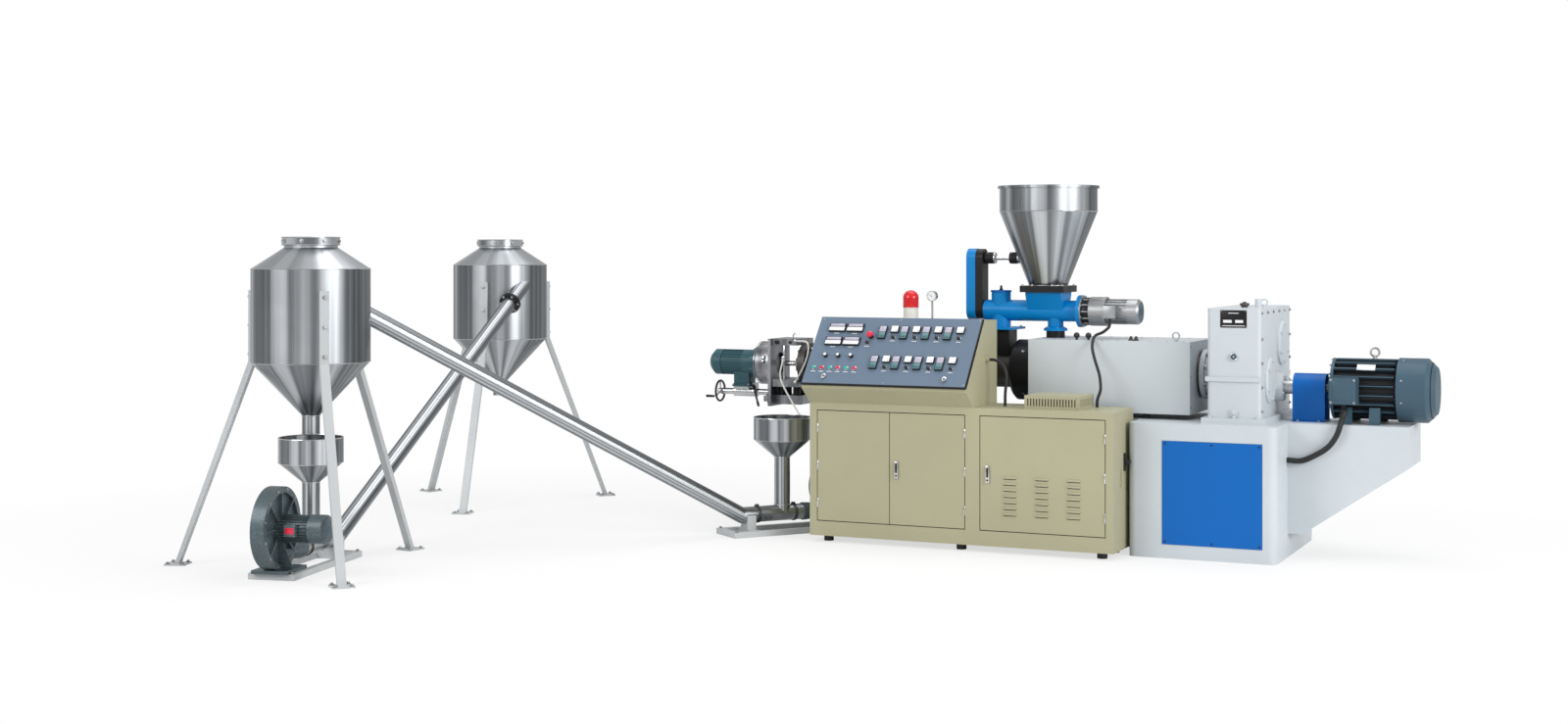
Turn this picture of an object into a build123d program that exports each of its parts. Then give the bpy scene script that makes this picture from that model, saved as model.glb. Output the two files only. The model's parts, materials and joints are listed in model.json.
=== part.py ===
from build123d import *
import math
import os

# Hot pelletizing machine with its control cabinet, feeder, die-face cutter, two blower
# lines and two silos. Millimetres. +X runs along the machine axis towards the main motor,
# +Y away from the operator, +Z up. The origin is on the floor, on the machine's centre
# plane, under the pedestal.

# Bed: a box pedestal under the gearbox, a tapered bracket under the motor, a narrow rail
bed_left = -420.0
bed_right = 444.0
bed_half_width = 575.0
bed_height = 785.0
bed_corner_radius = 45.0
bracket_length = 686.0
bracket_half_width = 240.0
bracket_tip_depth = 235.0
bracket_root_bottom = 140.0
bracket_root_length = 86.0
rail_length = 1560.0
rail_half_width = 250.0
rail_tip_length = 420.0
rail_tip_depth = 150.0
rail_tip_root = 420.0
toe_height = 60.0
toe_depth = 25.0
side_panel_left = -215.0
side_panel_right = 364.0
side_panel_bottom = 83.0
side_panel_top_margin = 100.0
side_panel_top = bed_height - side_panel_top_margin
side_panel_thickness = 6.0
side_panel_recess = 3.0
panel_edge_gap = 2.0

# Axes that run along X, each by its rise from the bed or from the axis it belongs to
screw_rise = 260.0
motor_rise = 197.0
cover_rise = 205.0
feeder_rise = 167.0
agitator_rise = 331.0
cutter_bar_drop = 197.0
screw_axis = bed_height + screw_rise
motor_axis = bed_height + motor_rise
cover_top = screw_axis + cover_rise
feeder_axis = cover_top + feeder_rise
agitator_axis = feeder_axis + agitator_rise
cutter_bar_axis = screw_axis - cutter_bar_drop

# Gearbox on the pedestal
gearbox_left = 17.0
gearbox_right = 330.0
gearbox_half_width = 438.0
gearbox_rise = 413.0
gearbox_top = screw_axis + gearbox_rise
gearbox_corner = 22.0
gearbox_foot_height = 34.0
gearbox_foot_reach = 30.0
joint_flange_height = 26.0
joint_flange_reach = 10.0
output_flange_radius = 150.0
output_flange_length = 26.0
output_neck_radius = 122.0
output_neck_length = 117.0
input_boss_radius = 85.0
input_boss_length = 50.0
bearing_cap_radius = 135.0
bearing_cap_thickness = 22.0
bearing_cap_rim = 16.0
upper_cap_y = 150.0
upper_cap_rise = 195.0
upper_cap_z = screw_axis + upper_cap_rise
lower_cap_y = -215.0
lower_cap_drop = 11.0
lower_cap_z = screw_axis - lower_cap_drop
oil_port_x = 174.0
oil_port_rise = 133.0
oil_port_z = screw_axis + oil_port_rise
oil_port_radius = 24.0
drain_plug_rise = 65.0
drain_plug_z = bed_height + drain_plug_rise
breather_radius = 20.0
breather_height = 52.0

# Drive between gearbox and main motor
shaft_radius = 42.0
shaft_socket_depth = 40.0
running_clearance = 0.4
coupling_radius = 68.0
coupling_left = 458.0
coupling_length = 150.0
coupling_gap = 6.0
motor_shaft_radius = 24.0
motor_socket_depth = 36.0
guard_left = 442.0
guard_right = 630.0
guard_wall = 3.0
guard_clearance = 14.0
guard_foot = 22.0

# Main motor
motor_left = 645.0
motor_body_length = 400.0
motor_core_radius = 152.0
motor_fin_radius = 180.0
motor_fin_thickness = 6.0
motor_fin_count = 20
motor_shield_length = 42.0
motor_shield_radius = 178.0
motor_nose_radius = 70.0
motor_nose_length = 26.0
cowl_radius = 187.5
cowl_length = 214.0
cowl_wall = 3.0
motor_foot_width = 60.0
motor_foot_span = 150.0
motor_foot_thickness = 20.0
terminal_box_left = 679.0
terminal_box_width = 158.0
terminal_box_height = 157.0
terminal_box_drop = 80.0
terminal_box_bottom = motor_axis - terminal_box_drop
terminal_box_reach = 88.0

# Barrel, collar, cover and die head
barrel_radius = 115.0
barrel_end = -2600.0
barrel_flange_radius = 140.0
barrel_flange_width = 24.0
barrel_section = 330.0
collar_radius = 190.0
collar_length = 170.0
collar_edge = 18.0
cover_left = -1120.0
cover_right = -118.0
cover_half_width = 300.0
cover_floor_gap = 32.0
cover_bottom = bed_height + cover_floor_gap
cover_wall = 3.0
saddle_length = 90.0
saddle_half_width = 120.0
die_neck_radius = 95.0
die_neck_length = 110.0
die_flange_radius = 138.0
die_flange_thickness = 50.0

# Die-face cutter
plate_left = -2964.0
plate_thickness = 22.0
plate_half_width = 150.0
plate_drop = 278.0
plate_rise = 167.0
plate_bottom = screw_axis - plate_drop
plate_top = screw_axis + plate_rise
chamber_half_width = 130.0
chamber_roof_thickness = 42.0
chamber_floor_drop = 100.0
chamber_floor_top = screw_axis - chamber_floor_drop
chamber_floor_thickness = 49.0
lower_box_lift = 10.0
lower_box_bottom = plate_bottom + lower_box_lift
lower_box_height = 60.0
lower_box_half_width = 75.0
drum_radius = 143.0
drum_length = 113.0
drum_edge = 14.0
bar_radius = 21.0
bar_left = -3376.0
bar_axle_radius = 8.0
bar_socket_length = 75.0
bar_socket_half_width = 55.0
sleeve_radius = 33.0
sleeve_left = -3279.0
sleeve_length = 168.0
cutter_motor_left = -3437.0
cutter_motor_length = 324.0
cutter_motor_radius = 85.0
cutter_motor_ring_radius = 104.0
cutter_motor_ring_length = 31.0
cutter_motor_fins = 24
cutter_foot_length = 110.0
cutter_foot_half_width = 50.0
clamp_block = 40.0
lever_radius = 6.0
lever_length = 190.0
handwheel_radius = 76.0
handwheel_rim = 8.0
handwheel_hub_radius = 20.0
handwheel_width = 26.0
crank_length = 78.0

# Feeder
hopper_x = -1085.0
hopper_radius = 305.0
hopper_foot_rise = 158.0
hopper_cone_height = 465.0
hopper_band_height = 160.0
hopper_foot = feeder_axis + hopper_foot_rise
hopper_shoulder = hopper_foot + hopper_cone_height
hopper_rim = hopper_shoulder + hopper_band_height
hopper_outlet_radius = 120.0
sheet_wall = 3.0
rim_width = 12.0
rim_height = 16.0
agitator_boss_radius = 36.0
agitator_boss_length = 60.0
hopper_flange_half = 142.0
hopper_flange_thickness = 40.0
neck_half_top = 115.0
neck_half_bottom = 62.0
neck_lip = 14.0
feeder_tube_radius = 66.0
feeder_tube_left = -1497.0
feeder_tube_right = -862.0
feeder_end_flange_radius = 100.0
feeder_end_flange_thickness = 22.0
left_leg_x = -1396.0
left_leg_radius = 61.0
left_leg_rise = 123.0
left_leg_drop = 105.0
left_leg_top = feeder_axis + left_leg_rise
left_leg_bottom = feeder_axis - left_leg_drop
left_flange_half = 121.0
leg_flange_thickness = 14.0
right_leg_x = -1038.0
right_leg_radius = 49.0
right_leg_drop = 110.0
right_leg_bottom = feeder_axis - right_leg_drop
right_flange_radius = 74.0
left_duct_half = 79.0
right_duct_radius = 58.0
gear_adapter_radius = 84.0
gear_adapter_length = 60.0
gearhead_radius = 90.0
gearhead_length = 100.0
feeder_motor_radius = 78.0
feeder_motor_length = 210.0
feeder_motor_fins = 20
junction_width = 82.0
junction_height = 80.0
junction_reach = 48.0
guard_front_left = -1610.0
chain_guard_depth = 60.0
chain_back_depth = 48.0
chain_guard_radius = 60.0
agitator_coupling_radius = 36.0
agitator_coupling_length = 66.0
agitator_shaft_radius = 14.0
agitator_socket_depth = 25.0

# Control cabinet
cabinet_left = -2360.0
cabinet_right = -440.0
cabinet_front = -817.0
cabinet_depth = 437.0
cabinet_bottom = 40.0
cabinet_top = 858.0
cabinet_wall = 3.0
door_bottom = 135.0
door_top_margin = 48.0
door_top = cabinet_top - door_top_margin
door_thickness = 20.0
door_skin = 2.5
door_gap = 5.0
door_side_margin = 53.0
left_door_left = cabinet_left + door_side_margin
door_meeting = -1831.0
middle_door_right = -1350.0
right_door_left = -1250.0
door_right_margin = 50.0
right_door_right = cabinet_right - door_right_margin
lock_width = 22.0
lock_height = 100.0
lock_rise = 281.0
lock_bottom = door_bottom + lock_rise
lock_depth = 12.0
lock_inset = 37.0
foot_radius = 30.0
foot_margin = 90.0
console_right = -1295.0
console_overhang = 128.0
console_lip_rise = 100.0
console_height = 512.0
console_setback = 204.0
console_lip_bottom = cabinet_top + console_lip_rise
console_top = cabinet_top + console_height
console_top_front = cabinet_front + console_setback
console_panel_length = 512.0
console_panel_thickness = 12.0
panel_seat_gap = 5.0
vent_box_left = -1000.0
vent_box_width = 335.0
vent_box_setback = 72.0
vent_box_front = cabinet_front + vent_box_setback
vent_box_depth = 300.0
vent_box_height = 79.0
vent_slot_width = 7.0
vent_slot_pitch = 18.0
vent_slot_height = 44.0
beacon_x = -1815.0
beacon_setback = 113.0
beacon_y = console_top_front + beacon_setback
beacon_base_radius = 46.0
beacon_base_height = 72.0
beacon_dome_radius = 50.0
beacon_dome_height = 108.0
beacon_dome_step = 18
gauge_x = -1668.0
gauge_rise = 145.0
gauge_y = beacon_y
gauge_z = console_top + gauge_rise
gauge_radius = 32.0
gauge_depth = 28.0
gauge_pipe_radius = 6.0

# Operating panel: u runs to the right and v down from its top left corner
controller_width = 48.0
controller_height = 96.0
meter_width = 108.0
meter_height = 60.0
instrument_height = 14.0
knob_radius = 13.0
knob_height = 24.0
button_radius = 14.0
button_height = 12.0
stop_radius = 22.0
stop_height = 40.0
column_pitch = 142.0
row_pitch = 226.0
first_controller_u = 439.0
first_controller_v = 118.0
display_u = 77.0
display_v = -24.0
selector_v = 36.0
meter_u = 132.0
meter_v = 88.0
meter_pitch_u = 120.0
meter_pitch_v = 103.0
dial_u = 107.0
dial_v = 301.0
dial_pitch = 85.0
button_u = 52.0
button_v = 392.0
button_pitch = 54.0
main_switch_u = 357.0
main_switch_v = 198.0
stop_u = 370.0
stop_v = 150.0
left_latch_u = 136.0
right_latch_u = 918.0
latch_v = 456.0

# Silos
silo_one_x = -4530.0
silo_one_y = -2910.0
silo_two_x = -5230.0
silo_two_y = 130.0
silo_radius = 333.0
silo_bottom_seam = 1165.0
silo_shell_height = 527.0
silo_top_seam = silo_bottom_seam + silo_shell_height
silo_neck_radius = 150.0
silo_roof_height = 120.0
silo_neck_z = silo_top_seam + silo_roof_height
silo_neck_height = 14.0
silo_collar_radius = 162.0
silo_collar_height = 46.0
silo_collar_wall = 8.0
silo_outlet_radius = 50.0
silo_cone_height = 307.0
silo_outlet_length = 106.0
silo_cone_bottom = silo_bottom_seam - silo_cone_height
silo_outlet_bottom = silo_cone_bottom - silo_outlet_length
leg_count = 3
leg_width = 50.0
leg_thickness = 25.0
leg_top_drop = 121.0
leg_top = silo_top_seam - leg_top_drop
leg_foot_radius = 780.0
leg_plate = 120.0
leg_plate_thickness = 8.0
silo_one_leg_turn = -40.0
silo_two_leg_turn = -76.0

# Conveying lines: a funnel over a bent pipe, blown by a fan on a base frame
pipe_radius = 50.0
pipe_wall = 3.0
pipe_seam_turn = 45.0
elbow_leg = 100.0
pipe_axis = 125.0
inlet_step = 2.0
line_one_turn = 52.3
line_one_funnel = 3017.0
line_one_elbow = 290.0
line_one_entry_rise = 310.0
line_one_entry_z = silo_bottom_seam + line_one_entry_rise
line_two_elbow = 360.0
line_two_entry_angle = -20.0
line_two_entry_rise = 395.0
line_two_entry_z = silo_bottom_seam + line_two_entry_rise
pipe_flange_back = 262.0
pipe_flange_radius = 74.0
pipe_flange_thickness = 11.0
pipe_flange_split = 4.0
funnel_radius = 182.0
funnel_rim_gap = 19.0
funnel_band_height = 141.0
funnel_cone_height = 112.0
funnel_rim = silo_outlet_bottom - funnel_rim_gap
funnel_shoulder = funnel_rim - funnel_band_height
funnel_foot = funnel_shoulder - funnel_cone_height
base_length = 900.0
base_width = 270.0
base_bar_width = 40.0
base_bar_height = 35.0
base_lead = 500.0
fan_offset = 440.0
fan_radius = 228.0
fan_width = 80.0
fan_axis = 277.0
fan_rim_width = 34.0
fan_recess = 22.0
fan_hub_radius = 62.0
fan_spokes = 8
fan_spoke_width = 8.0
fan_outlet_radius = 56.0
fan_outlet_end = 140.0
fan_plate_length = 250.0
fan_plate_width = 210.0
fan_plate_thickness = 20.0
fan_motor_radius = 80.0
fan_motor_body_radius = 66.0
fan_motor_length = 268.0
fan_cowl_length = 92.0
fan_box_size = 62.0
gusset_thickness = 8.0

# Power cables
cable_radius = 9.0
gland_radius = 16.0
gland_length = 26.0
gland_y = -586.0
gland_rise = 277.0

CORNER = (Align.CENTER, Align.CENTER, Align.MIN)
bracket_right = bed_right + bracket_length
rail_left = bed_left - rail_length
duct_collar_left = cover_left - collar_length
cowl_left = motor_left + motor_body_length
guard_radius = coupling_radius + guard_clearance + guard_wall


def block(x_low, x_high, y_low, y_high, z_low, z_high):
    """A square block between two corners."""
    centre = Pos((x_low + x_high) / 2, (y_low + y_high) / 2, (z_low + z_high) / 2)
    return centre * Box(x_high - x_low, y_high - y_low, z_high - z_low)


def rod_x(radius, x_low, x_high, y=0.0, z=0.0):
    """A round bar along X."""
    return Pos(x_low, y, z) * Rot(0, 90, 0) * Cylinder(radius, x_high - x_low, align=CORNER)


def rod_y(radius, y_low, y_high, x=0.0, z=0.0):
    """A round bar along Y."""
    return Pos(x, y_low, z) * Rot(-90, 0, 0) * Cylinder(radius, y_high - y_low, align=CORNER)


def rod_z(radius, z_low, z_high, x=0.0, y=0.0):
    """A round bar along Z."""
    return Pos(x, y, z_low) * Cylinder(radius, z_high - z_low, align=CORNER)


def turned_z(outline, x=0.0, y=0.0):
    """A turned piece with an upright axis, from points of radius and height."""
    face = Plane.XZ * make_face(Polyline(*outline, close=True))
    return Pos(x, y, 0) * revolve(face, Axis.Z)


def turned_x(outline, y=0.0, z=0.0):
    """A turned piece with its axis along X, from points of length and radius."""
    face = Plane.XZ * make_face(Polyline(*outline, close=True))
    return Pos(0, y, z) * revolve(face, Axis.X)


def side_profile(outline, half_width):
    """A side view in X and Z, made equally thick on both sides of the centre plane."""
    face = Plane.XZ * make_face(Polyline(*outline, close=True))
    return extrude(face, amount=half_width, both=True)


def cone_shell(radius_low, z_low, radius_high, z_high, wall, x=0.0, y=0.0):
    """A thin cone or cylinder standing on its axis, open at both ends."""
    outline = [
        (radius_low, z_low),
        (radius_high, z_high),
        (radius_high - wall, z_high),
        (radius_low - wall, z_low),
    ]
    return turned_z(outline, x, y)


# Bed
def make_bed():
    plan = Pos((bed_left + bed_right) / 2, 0) * RectangleRounded(
        bed_right - bed_left, 2 * bed_half_width, bed_corner_radius
    )
    body = extrude(plan, amount=bed_height)
    for side in (-1, 1):
        recess_y = side * bed_half_width
        body -= block(
            side_panel_left - panel_edge_gap,
            side_panel_right + panel_edge_gap,
            recess_y - side_panel_recess,
            recess_y + side_panel_recess,
            side_panel_bottom - panel_edge_gap,
            side_panel_top + panel_edge_gap,
        )
    bracket = side_profile(
        [
            (bed_right - bed_corner_radius, bracket_root_bottom),
            (bed_right + bracket_root_length, bracket_root_bottom),
            (bracket_right, bed_height - bracket_tip_depth),
            (bracket_right, bed_height),
            (bed_right - bed_corner_radius, bed_height),
        ],
        bracket_half_width,
    )
    return body + bracket


def make_bed_panels():
    panels = []
    for side in (-1, 1):
        inner = side * (bed_half_width - side_panel_recess)
        outer = inner + side * side_panel_thickness
        panels.append(
            block(
                side_panel_left,
                side_panel_right,
                min(inner, outer),
                max(inner, outer),
                side_panel_bottom,
                side_panel_top,
            )
        )
    return Compound(panels)


def make_bed_rail():
    outline = [
        (bed_left, 0),
        (bed_left, bed_height),
        (rail_left - rail_tip_length, bed_height),
        (rail_left - rail_tip_length, bed_height - rail_tip_depth),
        (rail_left, rail_tip_root),
        (rail_left, 0),
    ]
    body = side_profile(outline, rail_half_width)
    for side in (-1, 1):
        edge = side * rail_half_width
        body -= block(
            rail_left + toe_depth,
            bed_left,
            edge - toe_depth,
            edge + toe_depth,
            0,
            toe_height,
        )
    for x in (bed_left - saddle_length, cover_left + 2 * saddle_length, rail_left - saddle_length):
        saddle = block(
            x - saddle_length / 2,
            x + saddle_length / 2,
            -saddle_half_width,
            saddle_half_width,
            bed_height,
            screw_axis,
        )
        body += saddle - rod_x(barrel_radius, x - saddle_length, x + saddle_length, z=screw_axis)
    return body


# Gearbox
def make_gearbox():
    width = gearbox_right - gearbox_left
    middle = (gearbox_left + gearbox_right) / 2
    plan = Pos(middle, 0) * RectangleRounded(width, 2 * gearbox_half_width, gearbox_corner)
    body = Pos(0, 0, bed_height) * extrude(plan, amount=gearbox_top - bed_height)
    foot = block(
        gearbox_left - gearbox_foot_reach,
        gearbox_right + gearbox_foot_reach,
        -gearbox_half_width - gearbox_foot_reach,
        gearbox_half_width + gearbox_foot_reach,
        bed_height,
        bed_height + gearbox_foot_height,
    )
    joint = block(
        gearbox_left - joint_flange_reach,
        gearbox_right,
        -gearbox_half_width - joint_flange_reach,
        gearbox_half_width + joint_flange_reach,
        screw_axis - joint_flange_height / 2,
        screw_axis + joint_flange_height / 2,
    )
    body += foot + joint
    body += rod_x(output_neck_radius, gearbox_left - output_neck_length, gearbox_left, z=screw_axis)
    body += rod_x(
        output_flange_radius,
        gearbox_left - output_neck_length,
        gearbox_left - output_neck_length + output_flange_length,
        z=screw_axis,
    )
    boss_end = gearbox_right + input_boss_length
    body += rod_x(input_boss_radius, gearbox_right, boss_end, z=motor_axis)
    socket = shaft_radius + running_clearance
    body -= rod_x(socket, boss_end - shaft_socket_depth, boss_end, z=motor_axis)
    return body


def make_gearbox_covers():
    covers = []
    face = gearbox_right
    for y, z in ((upper_cap_y, upper_cap_z), (lower_cap_y, lower_cap_z)):
        outline = [
            (face, 0),
            (face, bearing_cap_radius),
            (face + bearing_cap_thickness / 2, bearing_cap_radius),
            (face + bearing_cap_thickness, bearing_cap_radius - bearing_cap_rim),
            (face + bearing_cap_thickness, 0),
        ]
        covers.append(turned_x(outline, y, z))
    front = -gearbox_half_width
    for z in (oil_port_z, drain_plug_z):
        covers.append(rod_y(oil_port_radius, front - joint_flange_reach, front, oil_port_x, z))
    covers.append(
        rod_z(
            breather_radius,
            gearbox_top,
            gearbox_top + breather_height,
            gearbox_right - 3 * breather_radius,
            -gearbox_half_width / 2,
        )
    )
    return Compound(covers)


# Drive
def make_drive_shaft():
    boss_end = gearbox_right + input_boss_length
    start = boss_end - shaft_socket_depth + running_clearance
    middle = coupling_left + coupling_length / 2
    outline = [
        (start, 0),
        (start, shaft_radius),
        (coupling_left, shaft_radius),
        (coupling_left, coupling_radius),
        (middle - coupling_gap / 2, coupling_radius),
        (middle - coupling_gap / 2, coupling_radius - coupling_gap),
        (middle + coupling_gap / 2, coupling_radius - coupling_gap),
        (middle + coupling_gap / 2, coupling_radius),
        (coupling_left + coupling_length, coupling_radius),
        (coupling_left + coupling_length, motor_shaft_radius),
        (motor_left + motor_socket_depth - running_clearance, motor_shaft_radius),
        (motor_left + motor_socket_depth - running_clearance, 0),
    ]
    return turned_x(outline, 0, motor_axis)


def make_coupling_guard():
    length = guard_right - guard_left
    middle = (guard_left + guard_right) / 2

    def arch(radius, reach):
        round_top = Pos(0, motor_axis) * Circle(radius)
        sides = Pos(0, (motor_axis + bed_height) / 2) * Rectangle(2 * radius, motor_axis - bed_height)
        return Pos(middle, 0, 0) * extrude(Plane.YZ * (round_top + sides), amount=reach / 2, both=True)

    shell = arch(guard_radius, length) - arch(guard_radius - guard_wall, length + 2 * guard_wall)
    for side in (-1, 1):
        inner = side * guard_radius
        outer = side * (guard_radius + guard_foot)
        shell += block(
            guard_left,
            guard_right,
            min(inner, outer),
            max(inner, outer),
            bed_height,
            bed_height + guard_wall,
        )
    return shell


# Main motor
def make_main_motor():
    shield_end = motor_left + motor_shield_length
    outline = [
        (motor_left, 0),
        (motor_left, motor_nose_radius),
        (motor_left + motor_nose_length, motor_nose_radius + motor_nose_length),
        (motor_left + motor_nose_length, motor_shield_radius),
        (shield_end, motor_shield_radius),
        (shield_end, motor_core_radius),
        (cowl_left + 4 * cowl_wall, motor_core_radius),
        (cowl_left + 4 * cowl_wall, 0),
    ]
    body = turned_x(outline, 0, motor_axis)
    socket = motor_shaft_radius + running_clearance
    body -= rod_x(socket, motor_left, motor_left + motor_socket_depth, z=motor_axis)
    fins = []
    for number in range(motor_fin_count):
        angle = 360 * (number + 0.5) / motor_fin_count
        if abs(angle - 270) < 30:
            continue
        fin = block(
            shield_end,
            cowl_left - motor_nose_length / 2,
            -motor_fin_thickness / 2,
            motor_fin_thickness / 2,
            motor_core_radius - motor_fin_thickness,
            motor_fin_radius,
        )
        fins.append(Pos(0, 0, motor_axis) * Rot(angle - 90, 0, 0) * fin)
    body = body + fins
    foot_drop = motor_axis - bed_height
    for side in (-1, 1):
        leg_face = make_face(
            Polyline(
                (side * motor_foot_span, bed_height),
                (side * (motor_foot_span + motor_foot_width / 2), bed_height),
                (side * (motor_foot_span + motor_foot_width / 2), bed_height + motor_foot_thickness),
                (side * motor_core_radius, bed_height + foot_drop / 2),
                (side * (motor_core_radius - motor_foot_width), bed_height + foot_drop / 2),
                close=True,
            )
        )
        for x in (motor_left + 2 * motor_foot_width, cowl_left - 2 * motor_foot_width):
            leg = Pos(x, 0, 0) * extrude(Plane.YZ * leg_face, amount=motor_foot_width / 2, both=True)
            body += leg
    box_bottom = terminal_box_bottom
    box_right = terminal_box_left + terminal_box_width
    body += block(
        terminal_box_left,
        box_right,
        -motor_core_radius - terminal_box_reach,
        -motor_core_radius / 2,
        box_bottom,
        box_bottom + terminal_box_height,
    )
    return body


def make_main_motor_cowl():
    end = cowl_left + cowl_length
    outline = [
        (cowl_left, motor_core_radius),
        (cowl_left, cowl_radius),
        (end - 2 * motor_nose_length, cowl_radius),
        (end, cowl_radius - 2 * motor_nose_length),
        (end, 0),
        (end - cowl_wall, 0),
        (end - cowl_wall, cowl_radius - 2 * motor_nose_length - cowl_wall),
        (end - 2 * motor_nose_length - cowl_wall, cowl_radius - cowl_wall),
        (cowl_left + cowl_wall, cowl_radius - cowl_wall),
        (cowl_left + cowl_wall, motor_core_radius),
    ]
    return turned_x(outline, 0, motor_axis)


# Barrel
def make_barrel():
    start = gearbox_left - output_neck_length
    body = rod_x(barrel_radius, barrel_end, start, z=screw_axis)
    flange_x = start - barrel_flange_width
    body += rod_x(barrel_flange_radius, flange_x, start, z=screw_axis)
    flange_x = duct_collar_left - barrel_section
    while flange_x > barrel_end + barrel_section / 2:
        body += rod_x(
            barrel_flange_radius, flange_x - barrel_flange_width, flange_x, z=screw_axis
        )
        flange_x -= barrel_section
    return body


def make_barrel_collar():
    outline = [
        (duct_collar_left, barrel_radius),
        (duct_collar_left, collar_radius - collar_edge),
        (duct_collar_left + collar_edge, collar_radius),
        (cover_left, collar_radius),
        (cover_left, barrel_radius),
    ]
    return turned_x(outline, 0, screw_axis)


def make_barrel_cover():
    box = block(
        cover_left, cover_right, -cover_half_width, cover_half_width, cover_bottom, cover_top
    )
    inner = block(
        cover_left + cover_wall,
        cover_right - cover_wall,
        -cover_half_width + cover_wall,
        cover_half_width - cover_wall,
        cover_bottom - cover_wall,
        cover_top - cover_wall,
    )
    hole = rod_x(barrel_radius, cover_left - cover_wall, cover_left + 2 * cover_wall, z=screw_axis)
    far_hole = rod_x(
        barrel_flange_radius, cover_right - 2 * cover_wall, cover_right + cover_wall, z=screw_axis
    )
    return box - inner - hole - far_hole


def make_die_head():
    flange_left = barrel_end - die_neck_length - die_flange_thickness
    outline = [
        (barrel_end, 0),
        (barrel_end, die_neck_radius),
        (flange_left + die_flange_thickness, die_neck_radius),
        (flange_left + die_flange_thickness, die_flange_radius),
        (flange_left, die_flange_radius),
        (flange_left, 0),
    ]
    return turned_x(outline, 0, screw_axis)


# Die-face cutter
def make_cutter_frame():
    plate_right = plate_left + plate_thickness
    die_face = barrel_end - die_neck_length - die_flange_thickness
    frame = block(
        plate_left, plate_right, -plate_half_width, plate_half_width, plate_bottom, plate_top
    )
    frame += block(
        plate_right,
        die_face,
        -chamber_half_width,
        chamber_half_width,
        plate_top - chamber_roof_thickness,
        plate_top,
    )
    frame += block(
        plate_right,
        die_face,
        -chamber_half_width,
        chamber_half_width,
        chamber_floor_top - chamber_floor_thickness,
        chamber_floor_top,
    )
    frame += block(
        plate_right,
        die_face,
        -lower_box_half_width,
        lower_box_half_width,
        lower_box_bottom,
        lower_box_bottom + lower_box_height,
    )
    frame += block(
        plate_left - bar_socket_length,
        plate_left,
        -bar_socket_half_width,
        bar_socket_half_width,
        cutter_bar_axis - bar_radius - bar_socket_length / 2,
        cutter_bar_axis - bar_radius,
    )
    frame -= rod_x(drum_radius / 2, plate_left, plate_right, z=screw_axis)
    return frame


def make_cutter_drum():
    outline = [
        (plate_left, 0),
        (plate_left, drum_radius),
        (plate_left - drum_length + drum_edge, drum_radius),
        (plate_left - drum_length, drum_radius - drum_edge),
        (plate_left - drum_length, 0),
    ]
    return turned_x(outline, 0, screw_axis)


def make_guide_bar():
    bar = rod_x(bar_radius, bar_left, plate_left, z=cutter_bar_axis)
    axle_left = bar_left - handwheel_width
    return bar + rod_x(bar_axle_radius, axle_left, bar_left, z=cutter_bar_axis)


def make_carriage():
    sleeve = rod_x(sleeve_radius, sleeve_left, sleeve_left + sleeve_length, z=cutter_bar_axis)
    foot_middle = sleeve_left + sleeve_length - clamp_block - cutter_foot_length / 2
    foot = block(
        foot_middle - cutter_foot_length / 2,
        foot_middle + cutter_foot_length / 2,
        -cutter_foot_half_width,
        cutter_foot_half_width,
        cutter_bar_axis + sleeve_radius / 2,
        screw_axis - cutter_motor_radius / 2,
    )
    foot -= rod_x(
        cutter_motor_radius,
        foot_middle - cutter_foot_length,
        foot_middle + cutter_foot_length,
        z=screw_axis,
    )
    block_right = sleeve_left + sleeve_length
    clamp = block(
        block_right - clamp_block,
        block_right,
        -clamp_block / 2,
        clamp_block / 2,
        cutter_bar_axis + bar_radius,
        cutter_bar_axis + bar_radius + clamp_block,
    )
    lever_top = Vector(
        block_right - clamp_block / 2, -clamp_block / 2, cutter_bar_axis + bar_radius + clamp_block / 2
    )
    lever_way = Vector(0.48, -0.6, -0.64).normalized()
    lever = Plane(lever_top, z_dir=lever_way) * Cylinder(lever_radius, lever_length, align=CORNER)
    body = sleeve + foot + clamp + lever
    return body - rod_x(
        bar_radius + running_clearance,
        sleeve_left - clamp_block,
        block_right + clamp_block,
        z=cutter_bar_axis,
    )


def make_cutter_motor():
    end = cutter_motor_left + cutter_motor_length
    core = cutter_motor_radius - motor_fin_thickness
    cap = cutter_motor_radius
    outline = [
        (cutter_motor_left, 0),
        (cutter_motor_left, cap - 2 * drum_edge),
        (cutter_motor_left + 2 * drum_edge, cap),
        (cutter_motor_left + cap, cap),
        (cutter_motor_left + cap, core),
        (end - cap, core),
        (end - cap, cap),
        (end, cap),
        (end, cutter_motor_ring_radius),
        (end + cutter_motor_ring_length, cutter_motor_ring_radius),
        (end + cutter_motor_ring_length, 0),
    ]
    body = turned_x(outline, 0, screw_axis)
    fins = []
    for number in range(cutter_motor_fins):
        fin = block(
            cutter_motor_left + cap,
            end - cap,
            -motor_fin_thickness / 4,
            motor_fin_thickness / 4,
            core - motor_fin_thickness,
            cap - running_clearance,
        )
        turn = 360 * number / cutter_motor_fins
        fins.append(Pos(0, 0, screw_axis) * Rot(turn, 0, 0) * fin)
    return body + fins


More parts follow.
